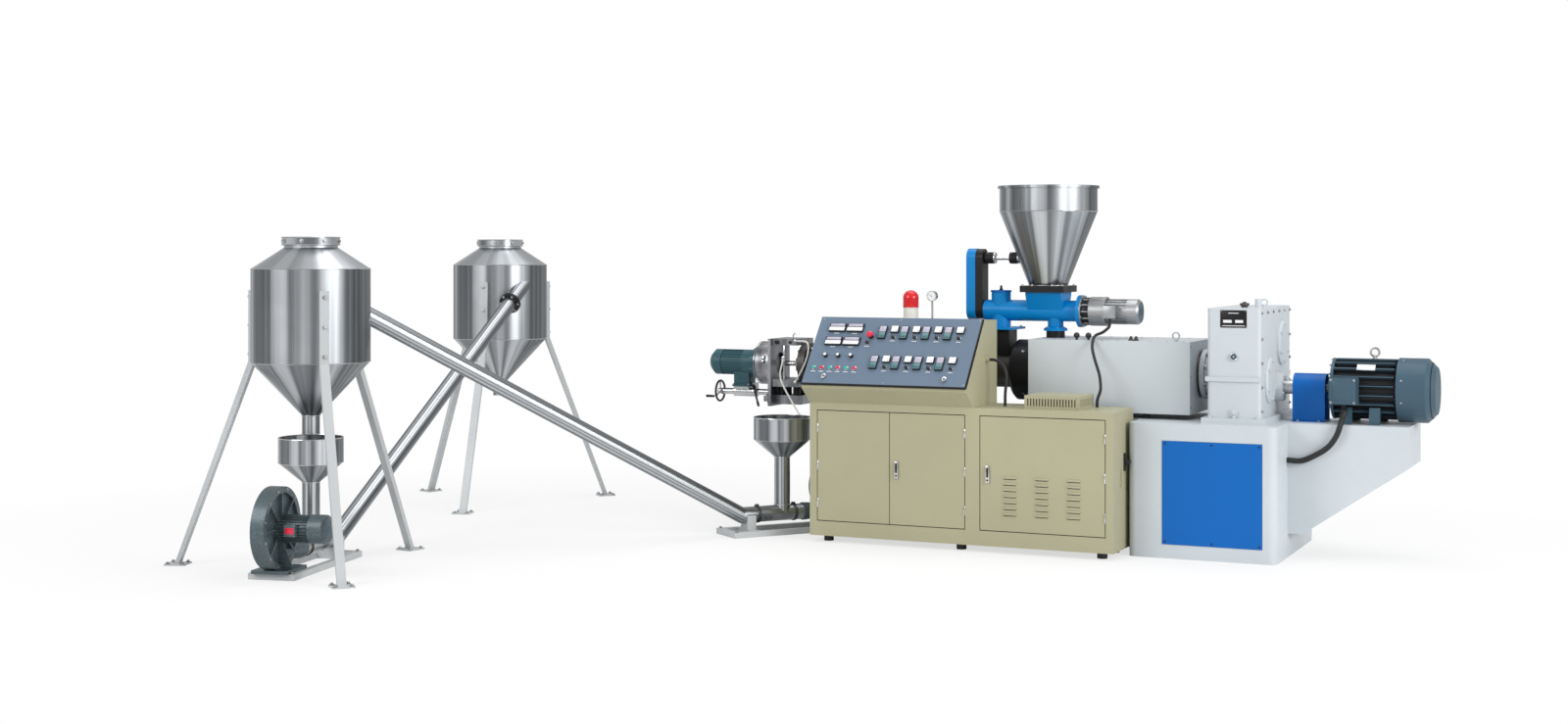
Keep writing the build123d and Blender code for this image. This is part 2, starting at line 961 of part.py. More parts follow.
def make_handwheel():
    right = bar_left - running_clearance
    middle = right - handwheel_width / 2
    rim_path_radius = handwheel_radius - handwheel_rim
    rim_section = Pos(0, rim_path_radius) * RegularPolygon(handwheel_rim, 8)
    wheel = Pos(middle, 0, cutter_bar_axis) * revolve(rim_section, Axis.X)
    wheel += rod_x(
        handwheel_hub_radius, right - handwheel_width, right, z=cutter_bar_axis
    )
    for number in range(3):
        spoke = rod_z(handwheel_rim * 0.7, handwheel_hub_radius / 2, rim_path_radius)
        wheel += Pos(middle, 0, cutter_bar_axis) * Rot(120 * number + 30, 0, 0) * spoke
    crank_y = -rim_path_radius * math.cos(math.radians(30))
    crank_z = cutter_bar_axis - rim_path_radius * math.sin(math.radians(30))
    wheel += rod_x(
        handwheel_rim * 0.8, middle - crank_length, middle + handwheel_rim / 2, crank_y, crank_z
    )
    axle = bar_axle_radius + running_clearance
    return wheel - rod_x(axle, right - handwheel_width, right, z=cutter_bar_axis)


# Feeder
def make_hopper_cylinder():
    outline = [
        (hopper_radius - sheet_wall, hopper_shoulder),
        (hopper_radius, hopper_shoulder),
        (hopper_radius, hopper_rim - rim_height),
        (hopper_radius + rim_width, hopper_rim - rim_height),
        (hopper_radius + rim_width, hopper_rim),
        (hopper_radius - sheet_wall, hopper_rim),
    ]
    return turned_z(outline, hopper_x, 0)


def make_hopper_cone():
    shell = cone_shell(
        hopper_outlet_radius,
        hopper_foot,
        hopper_radius,
        hopper_shoulder,
        sheet_wall,
        hopper_x,
        0,
    )
    share = (agitator_axis - hopper_foot) / (hopper_shoulder - hopper_foot)
    wall_radius = hopper_outlet_radius + share * (hopper_radius - hopper_outlet_radius)
    inside = turned_z(
        [
            (0, hopper_foot),
            (hopper_outlet_radius - sheet_wall, hopper_foot),
            (hopper_radius - sheet_wall, hopper_shoulder),
            (0, hopper_shoulder),
        ],
        hopper_x,
        0,
    )
    boss_left = hopper_x - wall_radius - agitator_boss_length / 2
    boss = rod_x(
        agitator_boss_radius, boss_left, boss_left + 1.5 * agitator_boss_length, z=agitator_axis
    )
    boss -= inside
    socket = rod_x(
        agitator_shaft_radius + running_clearance,
        boss_left,
        boss_left + agitator_socket_depth,
        z=agitator_axis,
    )
    return shell + boss - socket


def agitator_boss_face():
    """The end of the bearing boss on the hopper cone."""
    share = (agitator_axis - hopper_foot) / (hopper_shoulder - hopper_foot)
    wall_radius = hopper_outlet_radius + share * (hopper_radius - hopper_outlet_radius)
    return hopper_x - wall_radius - agitator_boss_length / 2


def make_hopper_flange():
    low = hopper_foot - hopper_flange_thickness
    plate = block(
        hopper_x - hopper_flange_half,
        hopper_x + hopper_flange_half,
        -hopper_flange_half,
        hopper_flange_half,
        low,
        hopper_foot,
    )
    return plate - rod_z(hopper_outlet_radius - sheet_wall, low, hopper_foot, hopper_x, 0)


def make_feeder_body():
    neck_top = hopper_foot - hopper_flange_thickness
    lip = Pos(hopper_x, 0, neck_top - neck_lip) * Box(
        2 * neck_half_top, 2 * neck_half_top, neck_lip, align=CORNER
    )
    top_face = Pos(hopper_x, 0, neck_top - neck_lip) * Rectangle(2 * neck_half_top, 2 * neck_half_top)
    low_face = Pos(hopper_x, 0, feeder_axis) * Rectangle(2 * neck_half_top, 2 * neck_half_bottom)
    body = rod_x(feeder_tube_radius, feeder_tube_left, feeder_tube_right, z=feeder_axis)
    body += loft([low_face, top_face]) + lip
    body += rod_x(
        feeder_end_flange_radius,
        feeder_tube_right - feeder_end_flange_thickness,
        feeder_tube_right,
        z=feeder_axis,
    )
    body += rod_z(left_leg_radius, left_leg_bottom, left_leg_top, left_leg_x, 0)
    body += block(
        left_leg_x - left_flange_half,
        left_leg_x + left_flange_half,
        -left_flange_half,
        left_flange_half,
        left_leg_bottom - leg_flange_thickness,
        left_leg_bottom,
    )
    body += rod_z(right_leg_radius, right_leg_bottom, feeder_axis, right_leg_x, 0)
    flare = [
        (0, right_leg_bottom - leg_flange_thickness),
        (right_flange_radius, right_leg_bottom - leg_flange_thickness),
        (right_flange_radius, right_leg_bottom),
        (right_leg_radius, right_leg_bottom + leg_flange_thickness),
        (0, right_leg_bottom + leg_flange_thickness),
    ]
    return body + turned_z(flare, right_leg_x, 0)


def make_feed_ducts():
    left_top = left_leg_bottom - leg_flange_thickness
    left = block(
        left_leg_x - left_duct_half,
        left_leg_x + left_duct_half,
        -left_duct_half,
        left_duct_half,
        screw_axis,
        left_top,
    )
    left -= rod_x(
        barrel_radius,
        left_leg_x - 2 * left_duct_half,
        left_leg_x + 2 * left_duct_half,
        z=screw_axis,
    )
    right_top = right_leg_bottom - leg_flange_thickness
    right = rod_z(right_duct_radius, cover_top, right_top, right_leg_x, 0)
    return Compound([left, right])


def make_feeder_gearmotor():
    adapter_end = feeder_tube_right + gear_adapter_length
    gear_end = adapter_end + gearhead_length
    end = gear_end + feeder_motor_length
    core = feeder_motor_radius - motor_fin_thickness
    cap = feeder_motor_radius
    outline = [
        (feeder_tube_right, 0),
        (feeder_tube_right, gear_adapter_radius),
        (adapter_end, gear_adapter_radius),
        (adapter_end, gearhead_radius),
        (gear_end, gearhead_radius),
        (gear_end, core),
        (end - cap, core),
        (end - cap, cap),
        (end - drum_edge, cap),
        (end, cap - drum_edge),
        (end, 0),
    ]
    body = turned_x(outline, 0, feeder_axis)
    fins = []
    for number in range(feeder_motor_fins):
        fin = block(
            gear_end,
            end - cap,
            -motor_fin_thickness / 4,
            motor_fin_thickness / 4,
            core - motor_fin_thickness,
            cap,
        )
        turn = 360 * number / feeder_motor_fins
        fins.append(Pos(0, 0, feeder_axis) * Rot(turn, 0, 0) * fin)
    body = body + fins
    body += block(
        gear_end,
        gear_end + junction_width,
        -cap - junction_reach,
        -core / 2,
        feeder_axis - junction_height / 2,
        feeder_axis + junction_height / 2,
    )
    return body


def racetrack(radius, x_low, x_high):
    """A plate with round ends that covers the feeder and agitator axes."""
    middle = (feeder_axis + agitator_axis) / 2
    plan = Pos(0, feeder_axis) * Circle(radius) + Pos(0, agitator_axis) * Circle(radius)
    plan += Pos(0, middle) * Rectangle(2 * radius, agitator_axis - feeder_axis)
    return Pos(x_low, 0, 0) * extrude(Plane.YZ * plan, amount=x_high - x_low)


def make_chain_guard():
    return racetrack(chain_guard_radius, guard_front_left, guard_front_left + chain_guard_depth)


def make_chain_guard_back():
    start = guard_front_left + chain_guard_depth
    back = racetrack(chain_guard_radius - panel_edge_gap, start, start + chain_back_depth)
    back += rod_x(
        feeder_tube_radius, start + chain_back_depth, feeder_tube_left, z=feeder_axis
    )
    socket = agitator_shaft_radius + running_clearance
    return back - rod_x(
        socket, start + chain_back_depth - agitator_socket_depth, start + chain_back_depth, z=agitator_axis
    )


def make_agitator_shaft():
    back_face = guard_front_left + chain_guard_depth + chain_back_depth
    boss_face = agitator_boss_face()
    start = back_face - agitator_socket_depth + running_clearance
    end = boss_face + agitator_socket_depth - running_clearance
    gap = 2 * panel_edge_gap
    body = rod_x(agitator_shaft_radius, start, end, z=agitator_axis)
    body += rod_x(
        agitator_coupling_radius,
        back_face + gap,
        back_face + gap + agitator_coupling_length,
        z=agitator_axis,
    )
    return body


# Control cabinet
def make_cabinet():
    back = cabinet_front + cabinet_depth
    shell = block(cabinet_left, cabinet_right, cabinet_front, back, cabinet_bottom, cabinet_top)
    shell -= block(
        cabinet_left + cabinet_wall,
        cabinet_right - cabinet_wall,
        cabinet_front + cabinet_wall,
        back - cabinet_wall,
        cabinet_bottom + cabinet_wall,
        cabinet_top - cabinet_wall,
    )
    for left, right in ((left_door_left, middle_door_right), (right_door_left, right_door_right)):
        shell -= block(
            left - door_gap,
            right + door_gap,
            cabinet_front - cabinet_wall,
            cabinet_front + 2 * cabinet_wall,
            door_bottom - door_gap,
            door_top + door_gap,
        )
    side_lock = block(
        cabinet_right,
        cabinet_right + lock_depth,
        cabinet_front + cabinet_depth / 3,
        cabinet_front + cabinet_depth / 3 + lock_width,
        lock_bottom,
        lock_bottom + lock_height,
    )
    return shell + side_lock


def make_door(left, right, lock_x):
    """A folded sheet door, flush with the cabinet front, with a lock on its skin."""
    door = block(
        left, right, cabinet_front, cabinet_front + door_thickness, door_bottom, door_top
    )
    door -= block(
        left + door_skin,
        right - door_skin,
        cabinet_front + door_skin,
        cabinet_front + door_thickness + door_skin,
        door_bottom + door_skin,
        door_top - door_skin,
    )
    if lock_x is None:
        return door
    lock = block(
        lock_x,
        lock_x + lock_width,
        cabinet_front - lock_depth,
        cabinet_front,
        lock_bottom,
        lock_bottom + lock_height,
    )
    return door + lock


def make_cabinet_feet():
    feet = []
    middle = (cabinet_left + cabinet_right) / 2
    for x in (cabinet_left + foot_margin, middle, cabinet_right - foot_margin):
        for y in (cabinet_front + foot_margin, cabinet_front + cabinet_depth - foot_margin):
            feet.append(rod_z(foot_radius, 0, cabinet_bottom, x, y))
    return Compound(feet)


def panel_frame():
    """The operating panel's own frame: X along it, Y down its slope, Z out of its face."""
    drop = console_top - console_lip_bottom
    lip_y = cabinet_front - console_overhang
    run = console_top_front - lip_y
    down = Vector(0, -run, -drop).normalized()
    out = Vector(1, 0, 0).cross(down) * -1
    return Vector(cabinet_left, console_top_front, console_top), down, out


def make_console():
    lip_y = cabinet_front - console_overhang
    back = cabinet_front + cabinet_depth
    outline = [
        (cabinet_front, cabinet_top),
        (lip_y, console_lip_bottom),
        (console_top_front, console_top),
        (back, console_top),
        (back, cabinet_top),
    ]
    middle = (cabinet_left + console_right) / 2
    length = console_right - cabinet_left
    face = make_face(Polyline(*outline, close=True))
    body = Pos(middle, 0, 0) * extrude(Plane.YZ * face, amount=length / 2, both=True)
    inner_face = offset(face, amount=-2 * cabinet_wall)
    body -= Pos(middle, 0, 0) * extrude(
        Plane.YZ * inner_face, amount=length / 2 - 2 * cabinet_wall, both=True
    )
    origin, down, out = panel_frame()
    slope = Plane(origin, x_dir=(1, 0, 0), z_dir=out)
    mouth = Box(
        length - 12 * cabinet_wall,
        console_panel_length - 12 * cabinet_wall,
        8 * cabinet_wall,
    )
    centre = origin + Vector(length / 2, 0, 0) + down * (console_panel_length / 2)
    body -= Plane(centre, x_dir=(1, 0, 0), z_dir=out) * mouth
    body += rod_x(
        gland_radius, console_right, console_right + gland_length, gland_y, cabinet_top + gland_rise
    )
    return body


def panel_place(u, v, height=0.0):
    """A frame on the panel's outer face, u from its left end and v down its slope."""
    origin, down, out = panel_frame()
    lift = panel_seat_gap + console_panel_thickness + height
    point = origin + Vector(u, 0, 0) + down * v + out * lift
    return Plane(point, x_dir=(1, 0, 0), z_dir=out)


def make_console_panel():
    length = console_right - cabinet_left
    plate = Box(
        length,
        console_panel_length,
        console_panel_thickness,
        align=(Align.CENTER, Align.CENTER, Align.MAX),
    )
    return panel_place(length / 2, console_panel_length / 2) * plate


def controller_places():
    """Centres of the eight tall controllers, in two rows of four."""
    places = []
    for row in range(2):
        for column in range(4):
            u = first_controller_u + column * column_pitch
            v = first_controller_v + row * row_pitch
            places.append((u, v))
    return places


def make_instruments():
    """Controllers, displays and meters, which stand out of the panel."""
    pieces = []
    for u, v in controller_places():
        tall = Box(controller_width, controller_height, instrument_height, align=CORNER)
        square = Box(controller_width, controller_width, instrument_height, align=CORNER)
        pieces.append(panel_place(u, v) * tall)
        pieces.append(panel_place(u + display_u, v + display_v) * square)
    for row in range(2):
        for column in range(2):
            u = meter_u + meter_pitch_u * column
            v = meter_v + meter_pitch_v * row
            meter = Box(meter_width, meter_height, instrument_height, align=CORNER)
            pieces.append(panel_place(u, v) * meter)
    return Compound(pieces)


def make_buttons():
    """Selector knobs, dial knobs, push buttons and the emergency stop."""
    pieces = []
    for u, v in controller_places():
        knob = Cylinder(knob_radius, knob_height, align=CORNER)
        pieces.append(panel_place(u + display_u, v + selector_v) * knob)
    for column in range(3):
        knob = Cylinder(knob_radius, knob_height, align=CORNER)
        pieces.append(panel_place(dial_u + dial_pitch * column, dial_v) * knob)
    for column in range(6):
        button = Cylinder(button_radius, button_height, align=CORNER)
        pieces.append(panel_place(button_u + button_pitch * column, button_v) * button)
    knob = Cylinder(knob_radius, knob_height, align=CORNER)
    pieces.append(panel_place(main_switch_u, main_switch_v) * knob)
    stem = Cylinder(stop_radius / 2, stop_height, align=CORNER)
    cap = Pos(0, 0, stop_height / 2) * Cylinder(stop_radius, stop_height / 2, align=CORNER)
    pieces.append(panel_place(stop_u, stop_v) * (stem + cap))
    for u in (left_latch_u, right_latch_u):
        latch = Cylinder(knob_radius, knob_height, align=CORNER)
        pieces.append(panel_place(u, latch_v) * latch)
    return Compound(pieces)


def make_ventilated_box():
    right = vent_box_left + vent_box_width
    back = vent_box_front + vent_box_depth
    top = cabinet_top + vent_box_height
    box = block(vent_box_left, right, vent_box_front, back, cabinet_top, top)
    box -= block(
        vent_box_left + cabinet_wall,
        right - cabinet_wall,
        vent_box_front + cabinet_wall,
        back - cabinet_wall,
        cabinet_top,
        top - cabinet_wall,
    )
    slot_middle = cabinet_top + vent_box_height / 2
    slots = []
    x = vent_box_left + vent_slot_pitch
    while x < right - vent_slot_pitch:
        slots.append(
            block(
                x,
                x + vent_slot_width,
                vent_box_front - cabinet_wall,
                vent_box_front + 2 * cabinet_wall,
                slot_middle - vent_slot_height / 2,
                slot_middle + vent_slot_height / 2,
            )
        )
        x += vent_slot_pitch
    y = vent_box_front + vent_slot_pitch
    while y < back - vent_slot_pitch:
        slots.append(
            block(
                right - 2 * cabinet_wall,
                right + cabinet_wall,
                y,
                y + vent_slot_width,
                slot_middle - vent_slot_height / 2,
                slot_middle + vent_slot_height / 2,
            )
        )
        y += vent_slot_pitch
    return box - slots


def make_beacon_base():
    base = rod_z(
        beacon_base_radius, console_top, console_top + beacon_base_height, beacon_x, beacon_y
    )
    return base


def make_beacon_dome():
    """A turned lens with a rounded top."""
    low = console_top + beacon_base_height
    shoulder = low + beacon_dome_height - beacon_dome_radius
    outline = [(0, low), (beacon_dome_radius, low), (beacon_dome_radius, shoulder)]
    for turn in range(beacon_dome_step, 90, beacon_dome_step):
        angle = math.radians(turn)
        outline.append(
            (
                beacon_dome_radius * math.cos(angle),
                shoulder + beacon_dome_radius * math.sin(angle),
            )
        )
    outline.append((0, shoulder + beacon_dome_radius))
    return turned_z(outline, beacon_x, beacon_y)


def make_pressure_gauge():
    case = rod_y(gauge_radius, gauge_y - gauge_depth, gauge_y, gauge_x, gauge_z)
    pipe_y = gauge_y - gauge_depth / 2
    pipe = rod_z(gauge_pipe_radius, console_top, gauge_z - gauge_radius / 2, gauge_x, pipe_y)
    return case + pipe


# Silos
def line_one():
    """Start, unit direction and side direction of the first conveying line, in plan."""
    turn = math.radians(line_one_turn)
    way = Vector(-math.cos(turn), -math.sin(turn))
    start = Vector(silo_one_x, silo_one_y) - way * line_one_funnel
    return start, way


def line_two():
    """Start and unit direction of the second conveying line, in plan."""
    start = Vector(silo_one_x, silo_one_y)
    way = (Vector(silo_two_x, silo_two_y) - start).normalized()
    return start, way


def pipe_points(start, way, elbow, entry):
    """Route of a conveying pipe from the fan outlet through the elbow to the silo."""
    first = start - way * fan_outlet_end
    bend = start + way * elbow
    return [
        Vector(first.X, first.Y, pipe_axis),
        Vector(bend.X, bend.Y, pipe_axis),
        entry,
    ]


def entry_one():
    start, way = line_one()
    wall = Vector(silo_one_x, silo_one_y) - way * (silo_radius - 2 * pipe_radius)
    return Vector(wall.X, wall.Y, line_one_entry_z)


def entry_two():
    turn = math.radians(line_two_entry_angle)
    reach = silo_radius - pipe_radius
    return Vector(
        silo_two_x + reach * math.cos(turn), silo_two_y + reach * math.sin(turn), line_two_entry_z
    )


def straight_tube(begin, end, radius, extra=0.0):
    """A round bar between two points."""
    way = (end - begin).normalized()
    length = (end - begin).length + extra
    return Plane(begin, z_dir=way) * Cylinder(radius, length, align=CORNER)


def bent_tube(points, outer, inner, seam=0.0):
    """A tube along straight runs that meet in a mitre, or a bar where inner is zero."""
    path = Polyline(*points)
    section = Circle(outer) if inner == 0 else Circle(outer) - Circle(inner)
    start = Plane(points[0], z_dir=points[1] - points[0])
    return sweep(start * Rot(0, 0, seam) * section, path=path, transition=Transition.RIGHT)


def silo_body(x, y):
    """The outer form of a silo's cylinder, solid."""
    return rod_z(silo_radius, silo_bottom_seam, silo_top_seam, x, y)


def make_silo_cylinder(x, y, points):
    shell = cone_shell(
        silo_radius, silo_bottom_seam, silo_radius, silo_top_seam, sheet_wall, x, y
    )
    return shell - straight_tube(points[1], points[2], pipe_radius - pipe_wall)


def make_silo_roof(x, y):
    outline = [
        (silo_radius, silo_top_seam),
        (silo_neck_radius, silo_neck_z),
        (silo_neck_radius, silo_neck_z + silo_neck_height),
        (silo_neck_radius - sheet_wall, silo_neck_z + silo_neck_height),
        (silo_neck_radius - sheet_wall, silo_neck_z),
        (silo_radius - sheet_wall, silo_top_seam),
    ]
    return turned_z(outline, x, y)


def make_silo_cone(x, y):
    outline = [
        (silo_radius, silo_bottom_seam),
        (silo_outlet_radius, silo_cone_bottom),
        (silo_outlet_radius, silo_outlet_bottom),
        (silo_outlet_radius - sheet_wall, silo_outlet_bottom),
        (silo_outlet_radius - sheet_wall, silo_cone_bottom),
        (silo_radius - sheet_wall, silo_bottom_seam),
    ]
    return turned_z(outline, x, y)


def make_silo_collars():
    collars = []
    for x, y in ((silo_one_x, silo_one_y), (silo_two_x, silo_two_y)):
        low = silo_neck_z + silo_neck_height
        high = low + silo_collar_height
        wall = silo_collar_radius - silo_neck_radius + silo_collar_wall
        collars.append(cone_shell(silo_collar_radius, low, silo_collar_radius, high, wall, x, y))
    return Compound(collars)


def make_silo_legs(x, y, first_turn):
    inner = silo_radius - sheet_wall
    outer = silo_radius + leg_thickness
    outline = [
        (inner, leg_top),
        (outer, leg_top),
        (outer, silo_bottom_seam),
        (leg_foot_radius + leg_thickness / 2, 0),
        (leg_foot_radius - leg_thickness / 2, 0),
        (silo_radius, silo_bottom_seam - leg_thickness),
        (silo_radius, silo_bottom_seam),
        (inner, silo_bottom_seam),
    ]
    leg = extrude(
        Plane.XZ * make_face(Polyline(*outline, close=True)), amount=leg_width / 2, both=True
    )
    leg -= rod_z(silo_radius, silo_bottom_seam, leg_top)
    plate = Pos(leg_foot_radius, 0, 0) * Box(leg_plate, leg_plate, leg_plate_thickness, align=CORNER)
    leg += plate
    legs = []
    for number in range(leg_count):
        turn = first_turn + 360 * number / leg_count
        legs.append(Pos(x, y, 0) * Rot(0, 0, turn) * leg)
    return Compound(legs)


# Conveying lines
def make_funnel(start, points):
    """The funnel's bowl, and the drop tube that stands on the conveying pipe."""
    outline = [
        (funnel_radius, funnel_rim),
        (funnel_radius, funnel_shoulder),
        (pipe_radius, funnel_foot),
        (pipe_radius - pipe_wall, funnel_foot),
        (funnel_radius - sheet_wall, funnel_shoulder),
        (funnel_radius - sheet_wall, funnel_rim),
    ]
    bowl = turned_z(outline, start.X, start.Y)
    tube = rod_z(pipe_radius, pipe_axis, funnel_foot, start.X, start.Y)
    tube -= rod_z(pipe_radius - pipe_wall, pipe_axis, funnel_foot, start.X, start.Y)
    tube -= straight_tube(points[0], points[1], pipe_radius)
    return Compound([bowl, tube])


def make_pipe(start, points, silo_x, silo_y):
    """A level run under the funnel, and the elbow with its rising run, welded end to end."""
    weld = points[1] - (points[1] - points[0]).normalized() * elbow_leg
    level = straight_tube(points[0], weld, pipe_radius)
    level -= straight_tube(points[0], weld, pipe_radius - pipe_wall)
    opening_radius = pipe_radius - pipe_wall - inlet_step
    opening = rod_z(opening_radius, pipe_axis, pipe_axis + 2 * pipe_radius, start.X, start.Y)
    level -= opening
    run = [weld, points[1], points[2]]
    rising = bent_tube(run, pipe_radius, pipe_radius - pipe_wall, pipe_seam_turn)
    rising -= silo_body(silo_x, silo_y)
    return Compound([level, rising])


def make_pipe_flange(points):
    """The bolted joint of a conveying pipe, a pair of flat rings a little before the silo."""
    way = (points[1] - points[2]).normalized()
    rings = []
    for side in (0, 1):
        begin = points[2] + way * (pipe_flange_back + side * (pipe_flange_thickness + pipe_flange_split))
        ring = Cylinder(pipe_flange_radius, pipe_flange_thickness, align=CORNER)
        ring -= Cylinder(pipe_radius, pipe_flange_thickness, align=CORNER)
        rings.append(Plane(begin, z_dir=way) * ring)
    return Compound(rings)


def fan_frame(start, way):
    """The fan's frame: X along the air flow, Y to its left, on the floor under the disc."""
    centre = start - way * fan_offset
    return Plane(Vector(centre.X, centre.Y, 0), x_dir=(way.X, way.Y, 0), z_dir=(0, 0, 1))


def make_fan():
    """A disc-shaped fan housing with a spoked face, its outlet and its foot."""
    half = fan_width / 2
    inner = fan_radius - fan_rim_width
    disc = rod_y(fan_radius, -half, half, 0, fan_axis)
    recess = rod_y(inner, -half, -half + fan_recess, 0, fan_axis)
    recess -= rod_y(fan_hub_radius, -half, -half + fan_recess, 0, fan_axis)
    for number in range(fan_spokes):
        spoke = block(
            -fan_spoke_width / 2, fan_spoke_width / 2, -half, -half + fan_recess, 0, fan_radius
        )
        recess -= Pos(0, 0, fan_axis) * Rot(0, 360 * number / fan_spokes, 0) * spoke
    disc -= recess
    outlet_start = fan_radius / 3
    outlet_end = fan_offset - fan_outlet_end
    outline = [
        (0, 0),
        (0, half - sheet_wall),
        (outlet_start, half - sheet_wall),
        (outlet_end - 2 * rim_width, fan_outlet_radius),
        (outlet_end, fan_outlet_radius),
        (outlet_end, 0),
    ]
    outlet = turned_x(outline, 0, pipe_axis)
    plate_low = base_bar_height
    foot = block(
        -fan_plate_length / 2 + base_bar_width,
        fan_plate_length / 2 + base_bar_width,
        -fan_plate_width / 2,
        fan_plate_width / 2,
        plate_low,
        plate_low + fan_plate_thickness,
    )
    web = block(
        -base_bar_width,
        2 * base_bar_width,
        -half + fan_recess,
        half,
        plate_low,
        fan_axis - inner,
    )
    gusset_face = make_face(
        Polyline(
            (-half, plate_low + fan_plate_thickness),
            (-fan_plate_width / 2, plate_low + fan_plate_thickness),
            (-half, fan_axis - fan_motor_body_radius - panel_edge_gap),
            close=True,
        )
    )
    gusset = extrude(Plane.YZ * gusset_face, amount=gusset_thickness / 2, both=True)
    return disc + outlet + foot + web + gusset


def make_fan_motor():
    """The fan's flange-mounted motor, with its axis across the air flow."""
    half = fan_width / 2
    body_end = -half - fan_motor_length + fan_cowl_length
    end = -half - fan_motor_length
    body = rod_y(fan_motor_body_radius, body_end, -half, 0, fan_axis)
    cowl = rod_y(fan_motor_radius, end, body_end, 0, fan_axis)
    edge = cowl.edges().filter_by(GeomType.CIRCLE).sort_by(Axis.Y)[0]
    body += fillet(edge, radius=rim_width)
    box_y = (body_end - half) / 2
    body += Pos(-fan_motor_body_radius, box_y, fan_axis) * Box(fan_box_size, fan_box_size, fan_box_size)
    return body


def make_base(start, way, elbow):
    """The base frame of a conveying line: two long bars, end bars and the fan's plate."""
    half = base_width / 2
    bar = base_bar_width
    frame = block(-base_lead, base_length - base_lead, -half, half, 0, base_bar_height)
    frame -= block(
        -base_lead + fan_plate_length,
        base_length - base_lead - bar,
        -half + bar,
        half - bar,
        0,
        base_bar_height,
    )
    rest_x = elbow - bar
    rest = block(
        rest_x - bar, rest_x + bar / 2, -pipe_radius, pipe_radius, base_bar_height, pipe_axis
    )
    rest -= rod_x(pipe_radius, rest_x - 2 * bar, rest_x + 2 * bar, z=pipe_axis)
    frame += block(rest_x - bar, rest_x + bar / 2, -half, half, 0, base_bar_height) + rest
    place = Plane(Vector(start.X, start.Y, 0), x_dir=(way.X, way.Y, 0), z_dir=(0, 0, 1))
    return place * frame


# Cables
def cable(points):
    """A round cable along straight runs joined by wide arcs."""
    radii = []
    for index in range(1, len(points) - 1):
        run_in = (Vector(*points[index]) - Vector(*points[index - 1]))
        run_out = (Vector(*points[index + 1]) - Vector(*points[index]))
        half_turn = math.radians(run_in.get_angle(run_out)) / 2
        shorter = min(run_in.length, run_out.length)
        radii.append(0.45 * shorter / math.tan(half_turn))
    path = FilletPolyline(*points, radius=radii)
    start = Plane(path @ 0, z_dir=path % 0)
    print("cable radii", [round(value) for value in radii], "length", round(path.length))
    return sweep(start * Circle(cable_radius), path=path)


def make_cables():
    """The main motor's cable to the bed and the feeder motor's cable to the cabinet."""
    x = terminal_box_left + terminal_box_width / 2
    y = -motor_core_radius - terminal_box_reach / 2
    side = -bracket_half_width - 2.5 * cable_radius
    z = terminal_box_bottom
    motor_cable = cable(
        [
            (x, y, z),
            (x, y, z - 38),
            (x - 1, y - 36, z - 68),
            (x - 6, side - 12, z - 112),
            (x - 30, side - 16, z - 180),
            (x - 76, side - 10, z - 244),
            (x - 144, side - 6, z - 292),
            (x - 228, side, z - 330),
            (bed_right, side, z - 330),
        ]
    )
    x = feeder_tube_right + gear_adapter_length + gearhead_length + junction_width / 2
    y = -feeder_motor_radius - junction_reach / 2
    z = feeder_axis - junction_height / 2
    feeder_cable = cable(
        [
            (x, y, z),
            (x, y, z - 50),
            (x - 26, y - 62, z - 84),
            (x - 48, -cover_half_width + 20, z - 98),
            (x - 40, -cover_half_width - 62, z - 160),
            (x - 4, -cover_half_width - 116, z - 240),
            (x + 36, -cover_half_width - 146, z - 330),
            (x + 46, -cover_half_width - 158, z - 416),
            (x + 24, -cover_half_width - 164, z - 472),
            (x + 24, -cover_half_width - 164, cabinet_top),
        ]
    )
    y = gland_y
    z = cabinet_top + gland_rise
    x = console_right + gland_length
    console_cable = cable(
        [
            (x, y, z),
            (x + 30, y, z),
            (x + 68, y - 2, z - 15),
            (x + 96, y - 6, z - 46),
            (x + 110, y - 12, z - 88),
            (x + 110, y - 18, z - 138),
            (x + 104, y - 22, z - 200),
            (x + 104, y - 22, cabinet_top),
        ]
    )
    return Compound([motor_cable, feeder_cable, console_cable])


